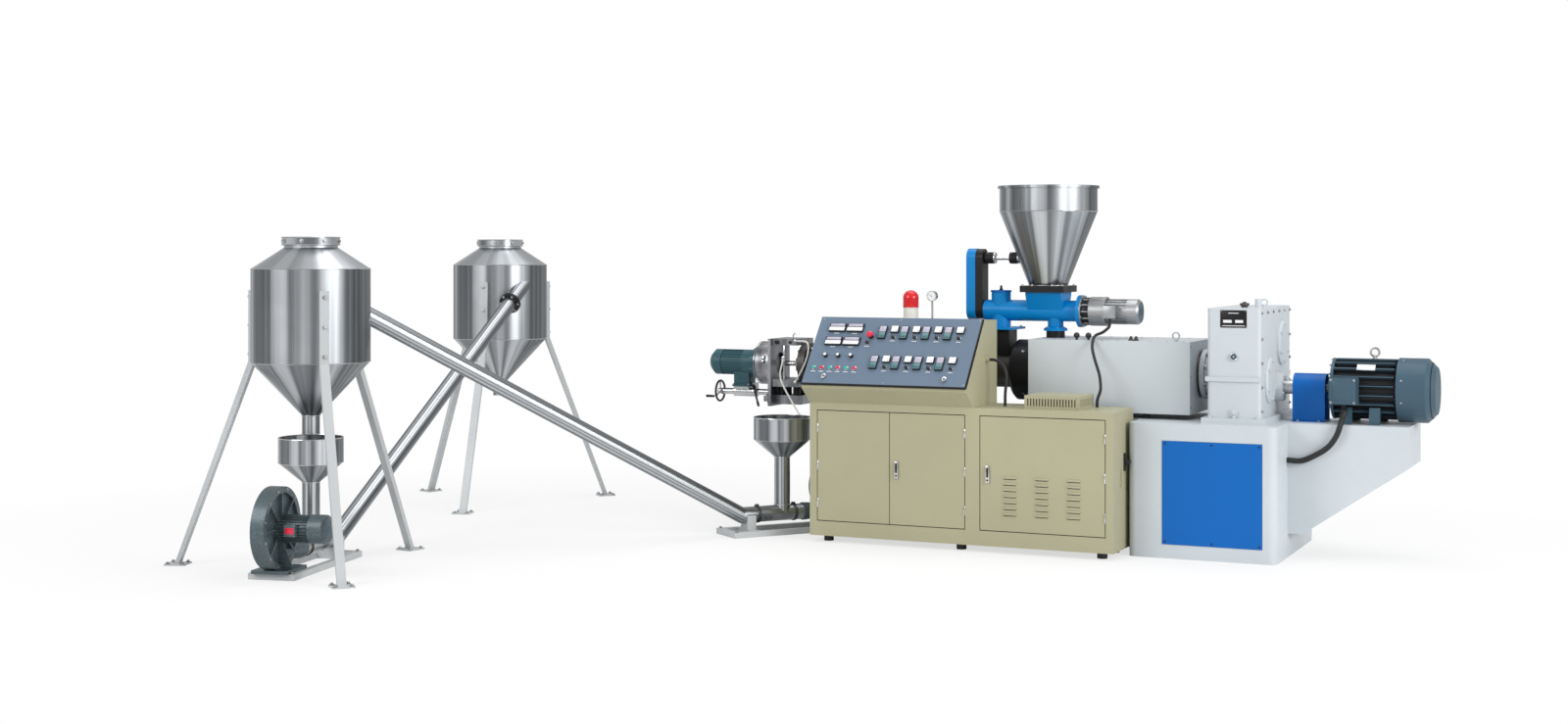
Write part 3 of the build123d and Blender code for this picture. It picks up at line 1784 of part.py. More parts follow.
def main():
    os.makedirs("parts", exist_ok=True)
    start_one, way_one = line_one()
    start_two, way_two = line_two()
    route_one = pipe_points(start_one, way_one, line_one_elbow, entry_one())
    route_two = pipe_points(start_two, way_two, line_two_elbow, entry_two())
    silo_one = (silo_one_x, silo_one_y)
    silo_two = (silo_two_x, silo_two_y)
    fan_places = [fan_frame(start_one, way_one), fan_frame(start_two, way_two)]
    pieces = {
        "bed": make_bed(),
        "bed_panels": make_bed_panels(),
        "bed_rail": make_bed_rail(),
        "gearbox_housing": make_gearbox(),
        "gearbox_covers": make_gearbox_covers(),
        "drive_shaft": make_drive_shaft(),
        "coupling_guard": make_coupling_guard(),
        "main_motor": make_main_motor(),
        "main_motor_cowl": make_main_motor_cowl(),
        "barrel": make_barrel(),
        "barrel_collar": make_barrel_collar(),
        "barrel_cover": make_barrel_cover(),
        "die_head": make_die_head(),
        "cutter_frame": make_cutter_frame(),
        "cutter_drum": make_cutter_drum(),
        "guide_bar": make_guide_bar(),
        "carriage": make_carriage(),
        "cutter_motor": make_cutter_motor(),
        "handwheel": make_handwheel(),
        "hopper_cylinder": make_hopper_cylinder(),
        "hopper_cone": make_hopper_cone(),
        "hopper_flange": make_hopper_flange(),
        "feeder_body": make_feeder_body(),
        "feeder_gearmotor": make_feeder_gearmotor(),
        "feed_ducts": make_feed_ducts(),
        "chain_guard": make_chain_guard(),
        "chain_guard_back": make_chain_guard_back(),
        "agitator_shaft": make_agitator_shaft(),
        "control_cabinet": make_cabinet(),
        "cabinet_feet": make_cabinet_feet(),
        "door_left": make_door(left_door_left, door_meeting - door_gap / 2, None),
        "door_middle": make_door(
            door_meeting + door_gap / 2, middle_door_right, door_meeting + lock_inset
        ),
        "door_right": make_door(right_door_left, right_door_right, right_door_left + lock_inset),
        "console_housing": make_console(),
        "console_panel": make_console_panel(),
        "panel_instruments": make_instruments(),
        "panel_buttons": make_buttons(),
        "ventilated_box": make_ventilated_box(),
        "beacon_base": make_beacon_base(),
        "beacon_dome": make_beacon_dome(),
        "pressure_gauge": make_pressure_gauge(),
        "silo_1_cylinder": make_silo_cylinder(*silo_one, route_one),
        "silo_1_roof": make_silo_roof(*silo_one),
        "silo_1_cone": make_silo_cone(*silo_one),
        "silo_1_legs": make_silo_legs(*silo_one, silo_one_leg_turn),
        "silo_2_cylinder": make_silo_cylinder(*silo_two, route_two),
        "silo_2_roof": make_silo_roof(*silo_two),
        "silo_2_cone": make_silo_cone(*silo_two),
        "silo_2_legs": make_silo_legs(*silo_two, silo_two_leg_turn),
        "silo_collars": make_silo_collars(),
        "funnel_1": make_funnel(start_one, route_one),
        "funnel_2": make_funnel(start_two, route_two),
        "conveying_pipe_1": make_pipe(start_one, route_one, *silo_one),
        "conveying_pipe_2": make_pipe(start_two, route_two, *silo_two),
        "pipe_flange": make_pipe_flange(route_two),
        "fan_housings": Compound([place * make_fan() for place in fan_places]),
        "fan_motors": Compound([place * make_fan_motor() for place in fan_places]),
        "line_bases": Compound(
            [
                make_base(start_one, way_one, line_one_elbow),
                make_base(start_two, way_two, line_two_elbow),
            ]
        ),
        "power_cables": make_cables(),
    }
    for name, shape in pieces.items():
        export_step(shape, f"parts/{name}.step")


main()
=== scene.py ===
# %% [markdown]
# # Dressing a hot pelletizing plant
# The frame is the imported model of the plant: a bed with its gearbox, motor, barrel and feeder, a control
# cabinet, two air lines and two silos. Here every part of it gets its finish, and the small things that a
# solid model leaves out, such as bolts, louvres, dials and plates, are modelled on top of it.

import json
import math

import bmesh
import bpy
from mathutils import Matrix, Vector


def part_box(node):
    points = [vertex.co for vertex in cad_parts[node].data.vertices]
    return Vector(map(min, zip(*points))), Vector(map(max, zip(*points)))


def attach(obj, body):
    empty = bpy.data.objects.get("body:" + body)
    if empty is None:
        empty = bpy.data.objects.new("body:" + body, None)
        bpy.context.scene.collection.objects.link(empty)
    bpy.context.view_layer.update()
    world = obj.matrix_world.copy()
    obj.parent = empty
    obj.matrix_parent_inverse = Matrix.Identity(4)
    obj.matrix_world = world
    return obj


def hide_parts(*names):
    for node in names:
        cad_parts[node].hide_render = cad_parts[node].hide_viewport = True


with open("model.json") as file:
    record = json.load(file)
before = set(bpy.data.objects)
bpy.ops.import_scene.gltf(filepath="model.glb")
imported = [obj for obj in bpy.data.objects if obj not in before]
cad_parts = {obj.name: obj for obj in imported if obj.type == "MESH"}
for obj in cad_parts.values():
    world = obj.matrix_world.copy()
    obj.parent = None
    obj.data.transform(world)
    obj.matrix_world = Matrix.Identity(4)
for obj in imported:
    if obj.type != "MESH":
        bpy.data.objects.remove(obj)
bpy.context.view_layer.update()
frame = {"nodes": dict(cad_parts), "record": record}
nodes = frame["nodes"]
print("nodes in the frame:", len(nodes))

# %% [markdown]
# ## The camera
# A product picture of a whole plant is taken from far away with level verticals. A level camera with a
# little downward shift keeps every leg and cabinet edge upright, which a tilted camera would not.

# %% Camera
camera = bpy.data.objects.new("camera", bpy.data.cameras.new("camera"))
bpy.context.scene.collection.objects.link(camera)
camera.location = (2.72, -12.14, 1.80)
camera.rotation_euler = (math.radians(90), 0, math.radians(24.9))
camera.data.sensor_width = 36.0
camera.data.lens = 46.125
camera.data.shift_y = -0.0716
camera.data.clip_end = 200
bpy.context.scene.camera = camera
bpy.context.scene.view_settings.view_transform = "Standard"
print("camera height in metres:", camera.location.z)

# %% [markdown]
# ## Shader maths as Python
# A material is a graph of nodes. Wrapping a socket in a small class lets the graph be written as plain
# expressions such as `1 - mask * 0.3`, which is easier to read than a list of links.


# %% The socket class
class Wire:
    """A value that flows between shader nodes, with the usual arithmetic."""

    def __init__(self, graph, socket):
        self.graph = graph
        self.socket = socket

    def math(self, operation, first, second):
        made = self.graph.node("ShaderNodeMath", {"operation": operation}, {0: first, 1: second})
        return made["Value"]

    def __add__(self, other):
        return self.math("ADD", self, other)

    def __radd__(self, other):
        return self.math("ADD", other, self)

    def __sub__(self, other):
        return self.math("SUBTRACT", self, other)

    def __rsub__(self, other):
        return self.math("SUBTRACT", other, self)

    def __mul__(self, other):
        return self.math("MULTIPLY", self, other)

    def __rmul__(self, other):
        return self.math("MULTIPLY", other, self)


# %% The graph class
class Made:
    """The outputs of one shader node, by name or by number."""

    def __init__(self, graph, made):
        self.graph = graph
        self.made = made

    def __getitem__(self, name):
        return Wire(self.graph, self.made.outputs[name])


class Graph:
    """The node tree of a new material, or of an owner that is given, such as the world."""

    def __init__(self, name, owner=None):
        self.material = owner or bpy.data.materials.new(name)
        self.material.use_nodes = True
        self.tree = self.material.node_tree
        self.tree.nodes.clear()

    def node(self, kind, settings=None, inputs=None):
        made = self.tree.nodes.new(kind)
        for name, value in (settings or {}).items():
            setattr(made, name, value)
        for name, value in (inputs or {}).items():
            if isinstance(value, Wire):
                self.tree.links.new(value.socket, made.inputs[name])
            else:
                made.inputs[name].default_value = value
        return Made(self, made)

    def place(self, scale=(1, 1, 1)):
        source = self.node("ShaderNodeTexCoord")["Object"]
        return self.node("ShaderNodeMapping", {}, {"Vector": source, "Scale": scale})["Vector"]

    def vector(self, operation, first, second=(0, 0, 0)):
        made = self.node("ShaderNodeVectorMath", {"operation": operation}, {0: first, 1: second})
        return made["Vector"]

    def around(self, centre, way):
        """Coordinates of a round body: its direction from the axis, and its place along it."""
        turn = Vector(way).rotation_difference(Vector((0, 0, 1)))
        source = self.node("ShaderNodeTexCoord")["Object"]
        moved = {"Vector": source, "Location": -(turn @ Vector(centre)), "Rotation": turn.to_euler()}
        local = self.node("ShaderNodeMapping", {}, moved)["Vector"]
        side = self.vector("NORMALIZE", self.vector("MULTIPLY", local, (1, 1, 0)))
        return self.vector("ADD", side, self.vector("MULTIPLY", local, (0, 0, 0.018)))

    def noise(self, scale, detail=3.0, stretch=(1, 1, 1), rough=0.5, vector=None):
        source = self.place(stretch) if vector is None else vector
        made = self.node(
            "ShaderNodeTexNoise",
            {},
            {"Vector": source, "Scale": scale, "Detail": detail, "Roughness": rough},
        )
        return made["Fac"]

    def ramp(self, value, low, high, start=0.0, end=1.0):
        made = self.node(
            "ShaderNodeMapRange",
            {},
            {"Value": value, "From Min": low, "From Max": high, "To Min": start, "To Max": end},
        )
        return made["Result"]

    def mix(self, factor, first, second):
        first, second = (
            value if isinstance(value, Wire) else (*value, 1.0) for value in (first, second)
        )
        made = self.node("ShaderNodeMix", {"data_type": "RGBA"}, {0: factor, 6: first, 7: second})
        return made[2]

    def bump(self, height, strength, distance):
        made = self.node(
            "ShaderNodeBump", {}, {"Height": height, "Strength": strength, "Distance": distance}
        )
        return made["Normal"]

    def surface(self, **inputs):
        names = {name.replace("_", " "): value for name, value in inputs.items()}
        shader = self.node("ShaderNodeBsdfPrincipled", {}, names)
        self.node("ShaderNodeOutputMaterial", {}, {"Surface": shader["BSDF"]})
        return self.material


def shade(colour, factor):
    return tuple(min(1.0, part * factor) for part in colour)


print("shader helpers ready")

# %% [markdown]
# ## Sprayed paint
# Sprayed machine enamel is smooth but never flat: it has a fine orange-peel ripple, slow changes of tone
# where the coat is thicker, and dull patches where hands and dust have been. An image could show these, but
# it would stretch over boxes and drums, while noise in Object coordinates fits every shape. Three noises at
# three sizes give them, and only colour, roughness and bump follow the noise.


# %% Paint
def paint(name, colour, roughness=0.38, peel=0.12, coat=0.04, grime=0.10):
    graph = Graph(name)
    cloud = graph.ramp(graph.noise(1.3, 2.0), 0.3, 0.7)
    dust = graph.ramp(graph.noise(9.0, 5.0, rough=0.65), 0.45, 0.8)
    tone = graph.mix(cloud, shade(colour, 0.94), shade(colour, 1.04))
    tone = graph.mix(dust * grime, tone, shade(colour, 0.72))
    ripple = graph.noise(420.0, 1.0)
    return graph.surface(
        Base_Color=tone,
        Roughness=roughness + dust * 0.18 + cloud * 0.05,
        Specular_IOR_Level=0.22,
        Coat_Weight=coat,
        Coat_Roughness=0.12,
        Normal=graph.bump(ripple, peel, 0.0006),
    )


print("paint helper ready")

# %% [markdown]
# Cast blower housings wear hammer-finish enamel: small pits with pale rims in a darker coat. Modelled pits
# would take millions of faces, so a Voronoi distance gives the cells, for colour and for bump alike.


# %% Hammer finish
def hammered(name, colour):
    graph = Graph(name)
    cells = graph.node("ShaderNodeTexVoronoi", {}, {"Vector": graph.place(), "Scale": 120.0})
    pit = graph.ramp(cells["Distance"], 0.0, 0.6)
    cloud = graph.ramp(graph.noise(6.0), 0.3, 0.7)
    tone = graph.mix(pit, shade(colour, 1.35), shade(colour, 0.7))
    tone = graph.mix(cloud * 0.35, tone, shade(colour, 0.55))
    return graph.surface(
        Base_Color=tone,
        Roughness=0.34 + cloud * 0.12,
        Metallic=0.25,
        Specular_IOR_Level=0.3,
        Coat_Weight=0.08,
        Normal=graph.bump(pit, 0.35, 0.0015),
    )


print("hammer helper ready")

# %% [markdown]
# ## Bare metals
# Rolled stainless sheet shows long soft streaks along its grain, so its noise is stretched hard along one
# axis. On the stainless these streaks, from near black to near white, are partly grain and partly painted
# reflection. A round shell or pipe shows bands round its axis instead, painted reflection as well, and
# ground or cast metal a fine grain.


# %% Metals
def streaked(name, dark, bright, stretch, roughness=0.24, scale=5.0):
    graph = Graph(name)
    broad = graph.ramp(graph.noise(scale, 2.0, stretch), 0.34, 0.66)
    fine = graph.noise(scale * 22, 3.0, stretch)
    stain = graph.ramp(graph.noise(3.0, 4.0), 0.5, 0.8)
    tone = graph.mix(broad, dark, bright)
    tone = graph.mix(fine * 0.25, tone, shade(bright, 1.1))
    return graph.surface(
        Base_Color=tone,
        Metallic=1.0,
        Roughness=roughness + fine * 0.12 + stain * 0.10,
        Normal=graph.bump(fine, 0.08, 0.0008),
    )


def round_metal_with_painted_reflection(name, centre, way, dark, bright, bands=2.2, roughness=0.26):
    graph = Graph(name)
    ring = graph.around(centre, way)
    # The broad and middle bands are painted reflection; the fine grain and the stains are the steel's own.
    broad = graph.ramp(graph.noise(bands, 1.0, vector=ring), 0.44, 0.56)
    middle = graph.ramp(graph.noise(bands * 5, 2.0, vector=ring), 0.38, 0.66)
    fine = graph.noise(bands * 40, 3.0, vector=ring)
    stain = graph.ramp(graph.noise(3.0, 4.0), 0.5, 0.8)
    tone = graph.mix(broad * 0.72 + middle * 0.28, dark, bright)
    tone = graph.mix(fine * 0.3, tone, shade(bright, 0.8))
    return graph.surface(
        Base_Color=tone,
        Metallic=1.0,
        Roughness=roughness + fine * 0.14 + stain * 0.10,
        Normal=graph.bump(fine, 0.06, 0.0008),
    )


def plain_metal(name, colour, roughness, scale=60.0):
    graph = Graph(name)
    grain = graph.noise(scale, 4.0)
    patch = graph.ramp(graph.noise(5.0, 3.0), 0.35, 0.7)
    tone = graph.mix(patch, shade(colour, 0.8), shade(colour, 1.1))
    return graph.surface(
        Base_Color=tone,
        Metallic=1.0,
        Roughness=roughness + grain * 0.15,
        Normal=graph.bump(grain, 0.07, 0.0005),
    )


print("metal helpers ready")

# %% [markdown]
# ## Plastics and rubber
# Moulded plastic has a fine even grain. Rubber is darker and duller. Both get random dust patches. The two
# differ only in tone, gloss and grain, so one function makes both.


# %% Plastics
def moulded(name, colour, roughness=0.4, grain=0.1):
    graph = Graph(name)
    fine = graph.noise(300.0, 2.0)
    dust = graph.ramp(graph.noise(14.0, 4.0), 0.5, 0.85)
    tone = graph.mix(dust * 0.12, colour, shade(colour, 0.75))
    return graph.surface(
        Base_Color=tone,
        Roughness=roughness + dust * 0.15,
        Normal=graph.bump(fine, grain, 0.0004),
    )


finishes = {
    "light_grey_paint": paint("light_grey_enamel", (0.55, 0.595, 0.625)),
    "blue_paint": paint("blue_enamel", (0.0005, 0.118, 0.44), 0.36),
    "slate_paint": paint("slate_enamel", (0.052, 0.098, 0.135), 0.36),
    # Enamel darker than the slate motor: painted shade for the shadow between fins.
    "fin_paint": paint("fin_painted_shade_enamel", (0.016, 0.024, 0.032), 0.42),
    "teal_paint": paint("teal_enamel", (0.035, 0.095, 0.115), 0.34),
    "black_paint": paint("black_enamel", (0.012, 0.012, 0.014), 0.38),
    "dark_steel": plain_metal("heat_darkened_steel", (0.10, 0.095, 0.09), 0.42),
    "bright_steel": plain_metal("ground_steel", (0.60, 0.61, 0.62), 0.2, 420.0),
    "grey_metal": streaked(
        "machined_plate", (0.115, 0.12, 0.13), (0.36, 0.37, 0.39), (1, 1, 0.2), 0.3, 14.0
    ),
    # Its streaks are partly rolling grain and partly painted reflection.
    "stainless": streaked(
        "rolled_stainless", (0.16, 0.175, 0.19), (0.78, 0.81, 0.84), (1, 1, 0.03), 0.22, 6.5
    ),
    "silver_paint": paint("silver_enamel", (0.50, 0.52, 0.53), 0.3),
    "cast_aluminium": plain_metal("cast_aluminium", (0.41, 0.42, 0.43), 0.34, 120.0),
    "feeder_blue": paint("feeder_enamel", (0.0005, 0.215, 0.56), 0.34),
    "beige_paint": paint("beige_enamel", (0.405, 0.388, 0.258), 0.36),
    "panel_paint": paint("panel_enamel", (0.135, 0.185, 0.255), 0.34),
    "instrument_plastic": moulded("instrument_black", (0.012, 0.014, 0.016)),
    "button_plastic": moulded("knob_black", (0.012, 0.012, 0.013), 0.3),
    "white_plastic": moulded("lamp_base_white", (0.72, 0.71, 0.68)),
    "red_plastic": moulded("lamp_red", (0.62, 0.012, 0.02), 0.16, 0.02),
    "black_plastic": moulded("grip_black", (0.014, 0.014, 0.015), 0.45),
    "cable_rubber": moulded("cable_rubber", (0.011, 0.011, 0.012), 0.55),
    "gauge_metal": plain_metal("gauge_chrome", (0.66, 0.67, 0.68), 0.12, 90.0),
    "fan_paint": hammered("hammer_green", (0.11, 0.15, 0.165)),
}
print("finishes mixed:", len(finishes))

# %% [markdown]
# ## Finishes on the solid parts
# Every part of the frame already names its own material slot in the record, so one loop dresses them all.
# The feeder and its chain guard wear a lighter blue than the bed.


# %% Dress the frame
def dress(name, material):
    nodes[name].data.materials.clear()
    nodes[name].data.materials.append(material)


for subpart in frame["record"]["subparts"]:
    dress(subpart["node"], finishes[subpart["material_slot"]])
for name in ("feeder_body", "chain_guard"):
    dress(name, finishes["feeder_blue"])

# %% [markdown]
# ## Places read from the frame
# Fittings must sit on the solid parts, so their places start from the parts' own boxes: the axis of a round
# part is the middle of its box, and a lid or a cover ends at its top.


# %% Axes, tops and faces
def upright_axis(node):
    low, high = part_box(node)
    return (round((low.x + high.x) / 2, 3), round((low.y + high.y) / 2, 3), 0.0)


def level_axis(node):
    low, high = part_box(node)
    return round((low.z + high.z) / 2, 3)


def top_of(node):
    return round(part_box(node)[1].z, 4)


def right_of(node):
    return round(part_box(node)[1].x, 4)


def front_of(node):
    return round(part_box(node)[0].y, 4)


def above(axis, height):
    return Vector((axis[0], axis[1], height))


SILO_1, SILO_2 = upright_axis("silo_1_cylinder"), upright_axis("silo_2_cylinder")
FUNNEL_1, HOPPER = upright_axis("funnel_1"), upright_axis("hopper_cylinder")
BEACON = above(upright_axis("beacon_base"), 0.0)
SCREW_AXIS, MOTOR_AXIS = level_axis("cutter_drum"), level_axis("main_motor_cowl")
FEEDER_AXIS, AGITATOR_AXIS = level_axis("feeder_gearmotor"), level_axis("agitator_shaft")
GUIDE_AXIS = level_axis("guide_bar")
COVER_TOP, GEARBOX_TOP = top_of("barrel_cover"), top_of("gearbox_housing")
CABINET_TOP, HOPPER_FOOT = top_of("control_cabinet"), top_of("hopper_flange")
FEEDER_TOP, BEACON_FOOT = top_of("feeder_body"), top_of("beacon_base")
GEARBOX_LIDS_RIGHT, COVER_RIGHT = right_of("gearbox_covers"), right_of("barrel_cover")
CHAMBER_LEFT = right_of("cutter_drum")
CABINET_FRONT, GAUGE_FRONT = front_of("control_cabinet"), front_of("pressure_gauge")
GEARBOX_LIDS_FRONT, BED_PANEL_FRONT = front_of("gearbox_covers"), front_of("bed_panels")
print("upright axes:", SILO_1, SILO_2, FUNNEL_1, HOPPER, tuple(BEACON))
print("level axes:", SCREW_AXIS, MOTOR_AXIS, FEEDER_AXIS, AGITATOR_AXIS, GUIDE_AXIS)
print("tops:", COVER_TOP, GEARBOX_TOP, CABINET_TOP, HOPPER_FOOT, FEEDER_TOP, BEACON_FOOT)
print("right faces:", GEARBOX_LIDS_RIGHT, COVER_RIGHT, CHAMBER_LEFT)
print("front faces:", CABINET_FRONT, GAUGE_FRONT, GEARBOX_LIDS_FRONT, BED_PANEL_FRONT)

# %% [markdown]
# Rolled shells and pipes show light and dark bands that run along them and fan out on their cones. These
# bands are painted reflection: the light and dark of the studio, laid into the base colour. An anisotropic
# shader could show them too, but it would need a tangent to suit each shell and pipe. Here each round body
# gets a metal of its own, whose noise depends on the direction from its axis.

# %% Round bodies
# Dark and bright ends of the painted reflection bands on the round bodies.
PAINTED_REFLECTION_DARK, PAINTED_REFLECTION_BRIGHT = (0.080, 0.088, 0.095), (0.66, 0.69, 0.72)
# The roofs face the top softbox, so their dark tone is much paler: a painted highlight on their tops.
ROOF_PAINTED_HIGHLIGHT_DARK = (0.40, 0.42, 0.44)
RISE_1, RISE_2 = (-1.526, -1.974, 1.35), (-0.353, 2.592, 1.435)
PIPE_AXIS = 0.125
ELBOW_1, ELBOW_2 = (-2.862, -0.752, PIPE_AXIS), (-4.611, -2.559, PIPE_AXIS)
UPRIGHT = (0, 0, 1)
round_bodies = [
    ("silo_1_steel", SILO_1, UPRIGHT, ["silo_1_cylinder", "silo_1_cone"]),
    ("silo_2_steel", SILO_2, UPRIGHT, ["silo_2_cylinder", "silo_2_cone"]),
    ("silo_1_roof_steel", SILO_1, UPRIGHT, ["silo_1_roof"]),
    ("silo_2_roof_steel", SILO_2, UPRIGHT, ["silo_2_roof"]),
    ("funnel_1_steel", FUNNEL_1, UPRIGHT, ["funnel_1"]),
    ("funnel_2_steel", SILO_1, UPRIGHT, ["funnel_2"]),
    ("hopper_steel", HOPPER, UPRIGHT, ["hopper_cylinder", "hopper_cone"]),
    ("pipe_1_steel", ELBOW_1, RISE_1, ["conveying_pipe_1"]),
    ("pipe_2_steel", ELBOW_2, RISE_2, ["conveying_pipe_2"]),
]
for name, centre, way, dressed in round_bodies:
    # Roofs take the paler dark tone, a painted highlight.
    dark = ROOF_PAINTED_HIGHLIGHT_DARK if "roof" in name else PAINTED_REFLECTION_DARK
    steel = round_metal_with_painted_reflection(name, centre, way, dark, PAINTED_REFLECTION_BRIGHT)
    for node_name in dressed:
        dress(node_name, steel)
    print(name, "on", dressed)

# %% [markdown]
# ## The studio
# The floor and the world stay white to the camera, so that the plant stands alone on white. Close to the
# plant the floor keeps some of its own shade, so that feet and legs still touch something. More light would
# whiten the floor as well, but it would bleach the plant too, so a Light Path node does it.

# %% Floor and backdrop
WHITE, FLOOR_GREY = (1.0, 1.0, 1.0, 1.0), (0.80, 0.80, 0.80, 1.0)
FLOOR_HALF, FLOOR_DROP = 60.0, 0.0005
SHADE_CENTRE, SHADE_SIZE = (-2.1, -1.5), (4.2, 3.4)
mesh = bmesh.new()
bmesh.ops.create_grid(mesh, x_segments=1, y_segments=1, size=FLOOR_HALF)
floor_data = bpy.data.meshes.new("floor")
mesh.to_mesh(floor_data)
mesh.free()
floor = bpy.data.objects.new("floor", floor_data)
floor.location.z = -FLOOR_DROP
bpy.context.scene.collection.objects.link(floor)

graph = Graph("pale_floor")
ray = graph.node("ShaderNodeLightPath")
spot = graph.place((1 / SHADE_SIZE[0], 1 / SHADE_SIZE[1], 1))
back = (-SHADE_CENTRE[0] / SHADE_SIZE[0], -SHADE_CENTRE[1] / SHADE_SIZE[1], 0)
offset = graph.vector("ADD", spot, back)
reach = graph.node("ShaderNodeVectorMath", {"operation": "LENGTH"}, {0: offset})["Value"]
whiteness = graph.ramp(reach, 0.7, 1.5, 0.66, 1.0)
matte = graph.node("ShaderNodeBsdfDiffuse", {}, {"Color": FLOOR_GREY})["BSDF"]
glow = graph.node("ShaderNodeEmission", {}, {"Color": WHITE, "Strength": 1.0})["Emission"]
seen = {0: ray["Is Camera Ray"] * whiteness, 1: matte, 2: glow}
mixed = graph.node("ShaderNodeMixShader", {}, seen)["Shader"]
graph.node("ShaderNodeOutputMaterial", {}, {"Surface": mixed})
floor_data.materials.append(graph.material)
print("floor laid")

# %% [markdown]
# The strongest softbox stands to the right of the plant, one hangs above it, and one fills in from the
# front left. Small lamps would draw hard shadows, and the size of these keeps every shadow edge soft.


# %% Lamps and world
def softbox(name, place, target, size, watts):
    lamp = bpy.data.lights.new(name, "AREA")
    lamp.shape = "RECTANGLE"
    lamp.size, lamp.size_y = size
    lamp.energy = watts
    holder = bpy.data.objects.new(name, lamp)
    holder.location = place
    holder.rotation_euler = (Vector(target) - Vector(place)).to_track_quat("-Z", "Y").to_euler()
    bpy.context.scene.collection.objects.link(holder)


softbox("key_softbox", (8.5, -4.6, 4.6), (-1.0, -0.3, 0.8), (5.0, 4.0), 640)
softbox("top_softbox", (-1.5, 0.5, 8.5), (-1.8, 0, 0.5), (9.0, 6.0), 380)
softbox("fill_softbox", (-6.5, -9.5, 5.5), (-2.6, -1.2, 0.8), (5.0, 4.0), 400)

AMBIENT = 0.55
world = bpy.data.worlds.new("studio")
bpy.context.scene.world = world
sky = Graph("studio", world)
ray = sky.node("ShaderNodeLightPath")
straight = ray["Is Camera Ray"].math("MAXIMUM", ray["Is Camera Ray"], ray["Is Transmission Ray"])
ambient = sky.node("ShaderNodeBackground", {}, {"Color": WHITE, "Strength": AMBIENT})["Background"]
backdrop = sky.node("ShaderNodeBackground", {}, {"Color": WHITE, "Strength": 1.0})["Background"]
seen = {0: straight, 1: ambient, 2: backdrop}
mixed = sky.node("ShaderNodeMixShader", {}, seen)["Shader"]
sky.node("ShaderNodeOutputWorld", {}, {"Surface": mixed})
print("studio ready")

# %% [markdown]
# ## Placing small pieces
# A bolt or a dial needs only a point on a surface and the way that surface looks. `facing` turns those two
# into a matrix whose own Z leaves the surface, so each small shape is built flat and can be set anywhere.


# %% Placing helpers
def facing(point, out, up=(0, 0, 1)):
    z_way = Vector(out).normalized()
    x_way = Vector(up).cross(z_way)
    if x_way.length < 0.01:
        x_way = Vector((1, 0, 0))
    x_way.normalize()
    turn = Matrix((x_way, z_way.cross(x_way), z_way)).transposed().to_4x4()
    return Matrix.Translation(Vector(point)) @ turn


def moved(place, x=0.0, y=0.0, z=0.0):
    return place @ Matrix.Translation((x, y, z))


def turned(place, degrees, axis="Z"):
    return place @ Matrix.Rotation(math.radians(degrees), 4, axis)


def around(place, radius, count, start=0.0):
    spots = []
    for number in range(count):
        angle = math.radians(start + 360 * number / count)
        spots.append(moved(place, radius * math.cos(angle), radius * math.sin(angle)))
    return spots


def corners(place, width, height):
    return [
        moved(place, side * width / 2, end * height / 2) for side in (-1, 1) for end in (-1, 1)
    ]


FRONT, BACK, LEFT, RIGHT, UP = (0, -1, 0), (0, 1, 0), (-1, 0, 0), (1, 0, 0), (0, 0, 1)


def way_at(degrees, first=FRONT, second=UP):
    """The direction at an angle, from the first way towards the second."""
    angle = math.radians(degrees)
    return Vector(first) * math.cos(angle) + Vector(second) * math.sin(angle)


print("placing helpers ready")

# %% [markdown]
# ## Building blocks in bmesh
# Nearly every fitting here is a block, a drum or a ring with its edges broken. Real edges are never sharp,
# and a small bevel catches a thin highlight, so the helpers bevel as they build.


# %% Shape helpers
def each_once(items):
    """The items without repeats, in their own order, so that every run builds the same mesh."""
    return list(dict.fromkeys(items))


def bevel(mesh, edges, width, segments=2):
    bmesh.ops.bevel(
        mesh,
        geom=edges,
        offset=width,
        segments=segments,
        profile=0.5,
        affect="EDGES",
        material=-1,
    )


def add_box(mesh, place, size, soft=0.0):
    matrix = moved(place, z=size[2] / 2) @ Matrix.Diagonal((*size, 1.0))
    made = bmesh.ops.create_cube(mesh, size=1.0, matrix=matrix)
    if soft:
        bevel(mesh, each_once(edge for vert in made["verts"] for edge in vert.link_edges), soft)


def add_drum(mesh, place, radius, height, soft=0.0, sides=24, top=None):
    made = bmesh.ops.create_cone(
        mesh,
        cap_ends=True,
        segments=sides,
        radius1=radius,
        radius2=radius if top is None else top,
        depth=height,
        matrix=moved(place, z=height / 2),
    )
    if soft:
        faces = each_once(face for vert in made["verts"] for face in vert.link_faces)
        caps = [face for face in faces if len(face.verts) == sides]
        bevel(mesh, each_once(edge for face in caps for edge in face.edges), soft)


def full_turn(mesh, geom, centre, axis, steps):
    bmesh.ops.spin(
        mesh,
        geom=geom,
        cent=centre,
        axis=axis,
        dvec=(0, 0, 0),
        angle=math.radians(360),
        steps=steps,
        use_merge=True,
        use_normal_flip=False,
        use_duplicate=False,
    )


def add_ring(mesh, place, radius, wire, sides=36, wire_sides=8):
    start = turned(moved(place, x=radius), 90, "X")
    made = bmesh.ops.create_circle(mesh, segments=wire_sides, radius=wire, matrix=start)
    edges = each_once(edge for vert in made["verts"] for edge in vert.link_edges)
    full_turn(mesh, made["verts"] + edges, place.translation, place.col[2].xyz, sides)


def add_bolt(mesh, place, flats):
    washer = flats * 0.14
    add_drum(mesh, moved(place, z=-0.001), flats * 0.95, washer + 0.001, 0, 16)
    add_drum(mesh, moved(place, z=washer), flats * 0.577, flats * 0.6, flats * 0.06, 6)


def add_screw(mesh, place, radius):
    add_drum(mesh, moved(place, z=-0.0005), radius, radius * 0.35, radius * 0.2, 14, radius * 0.8)


print("shape helpers ready")

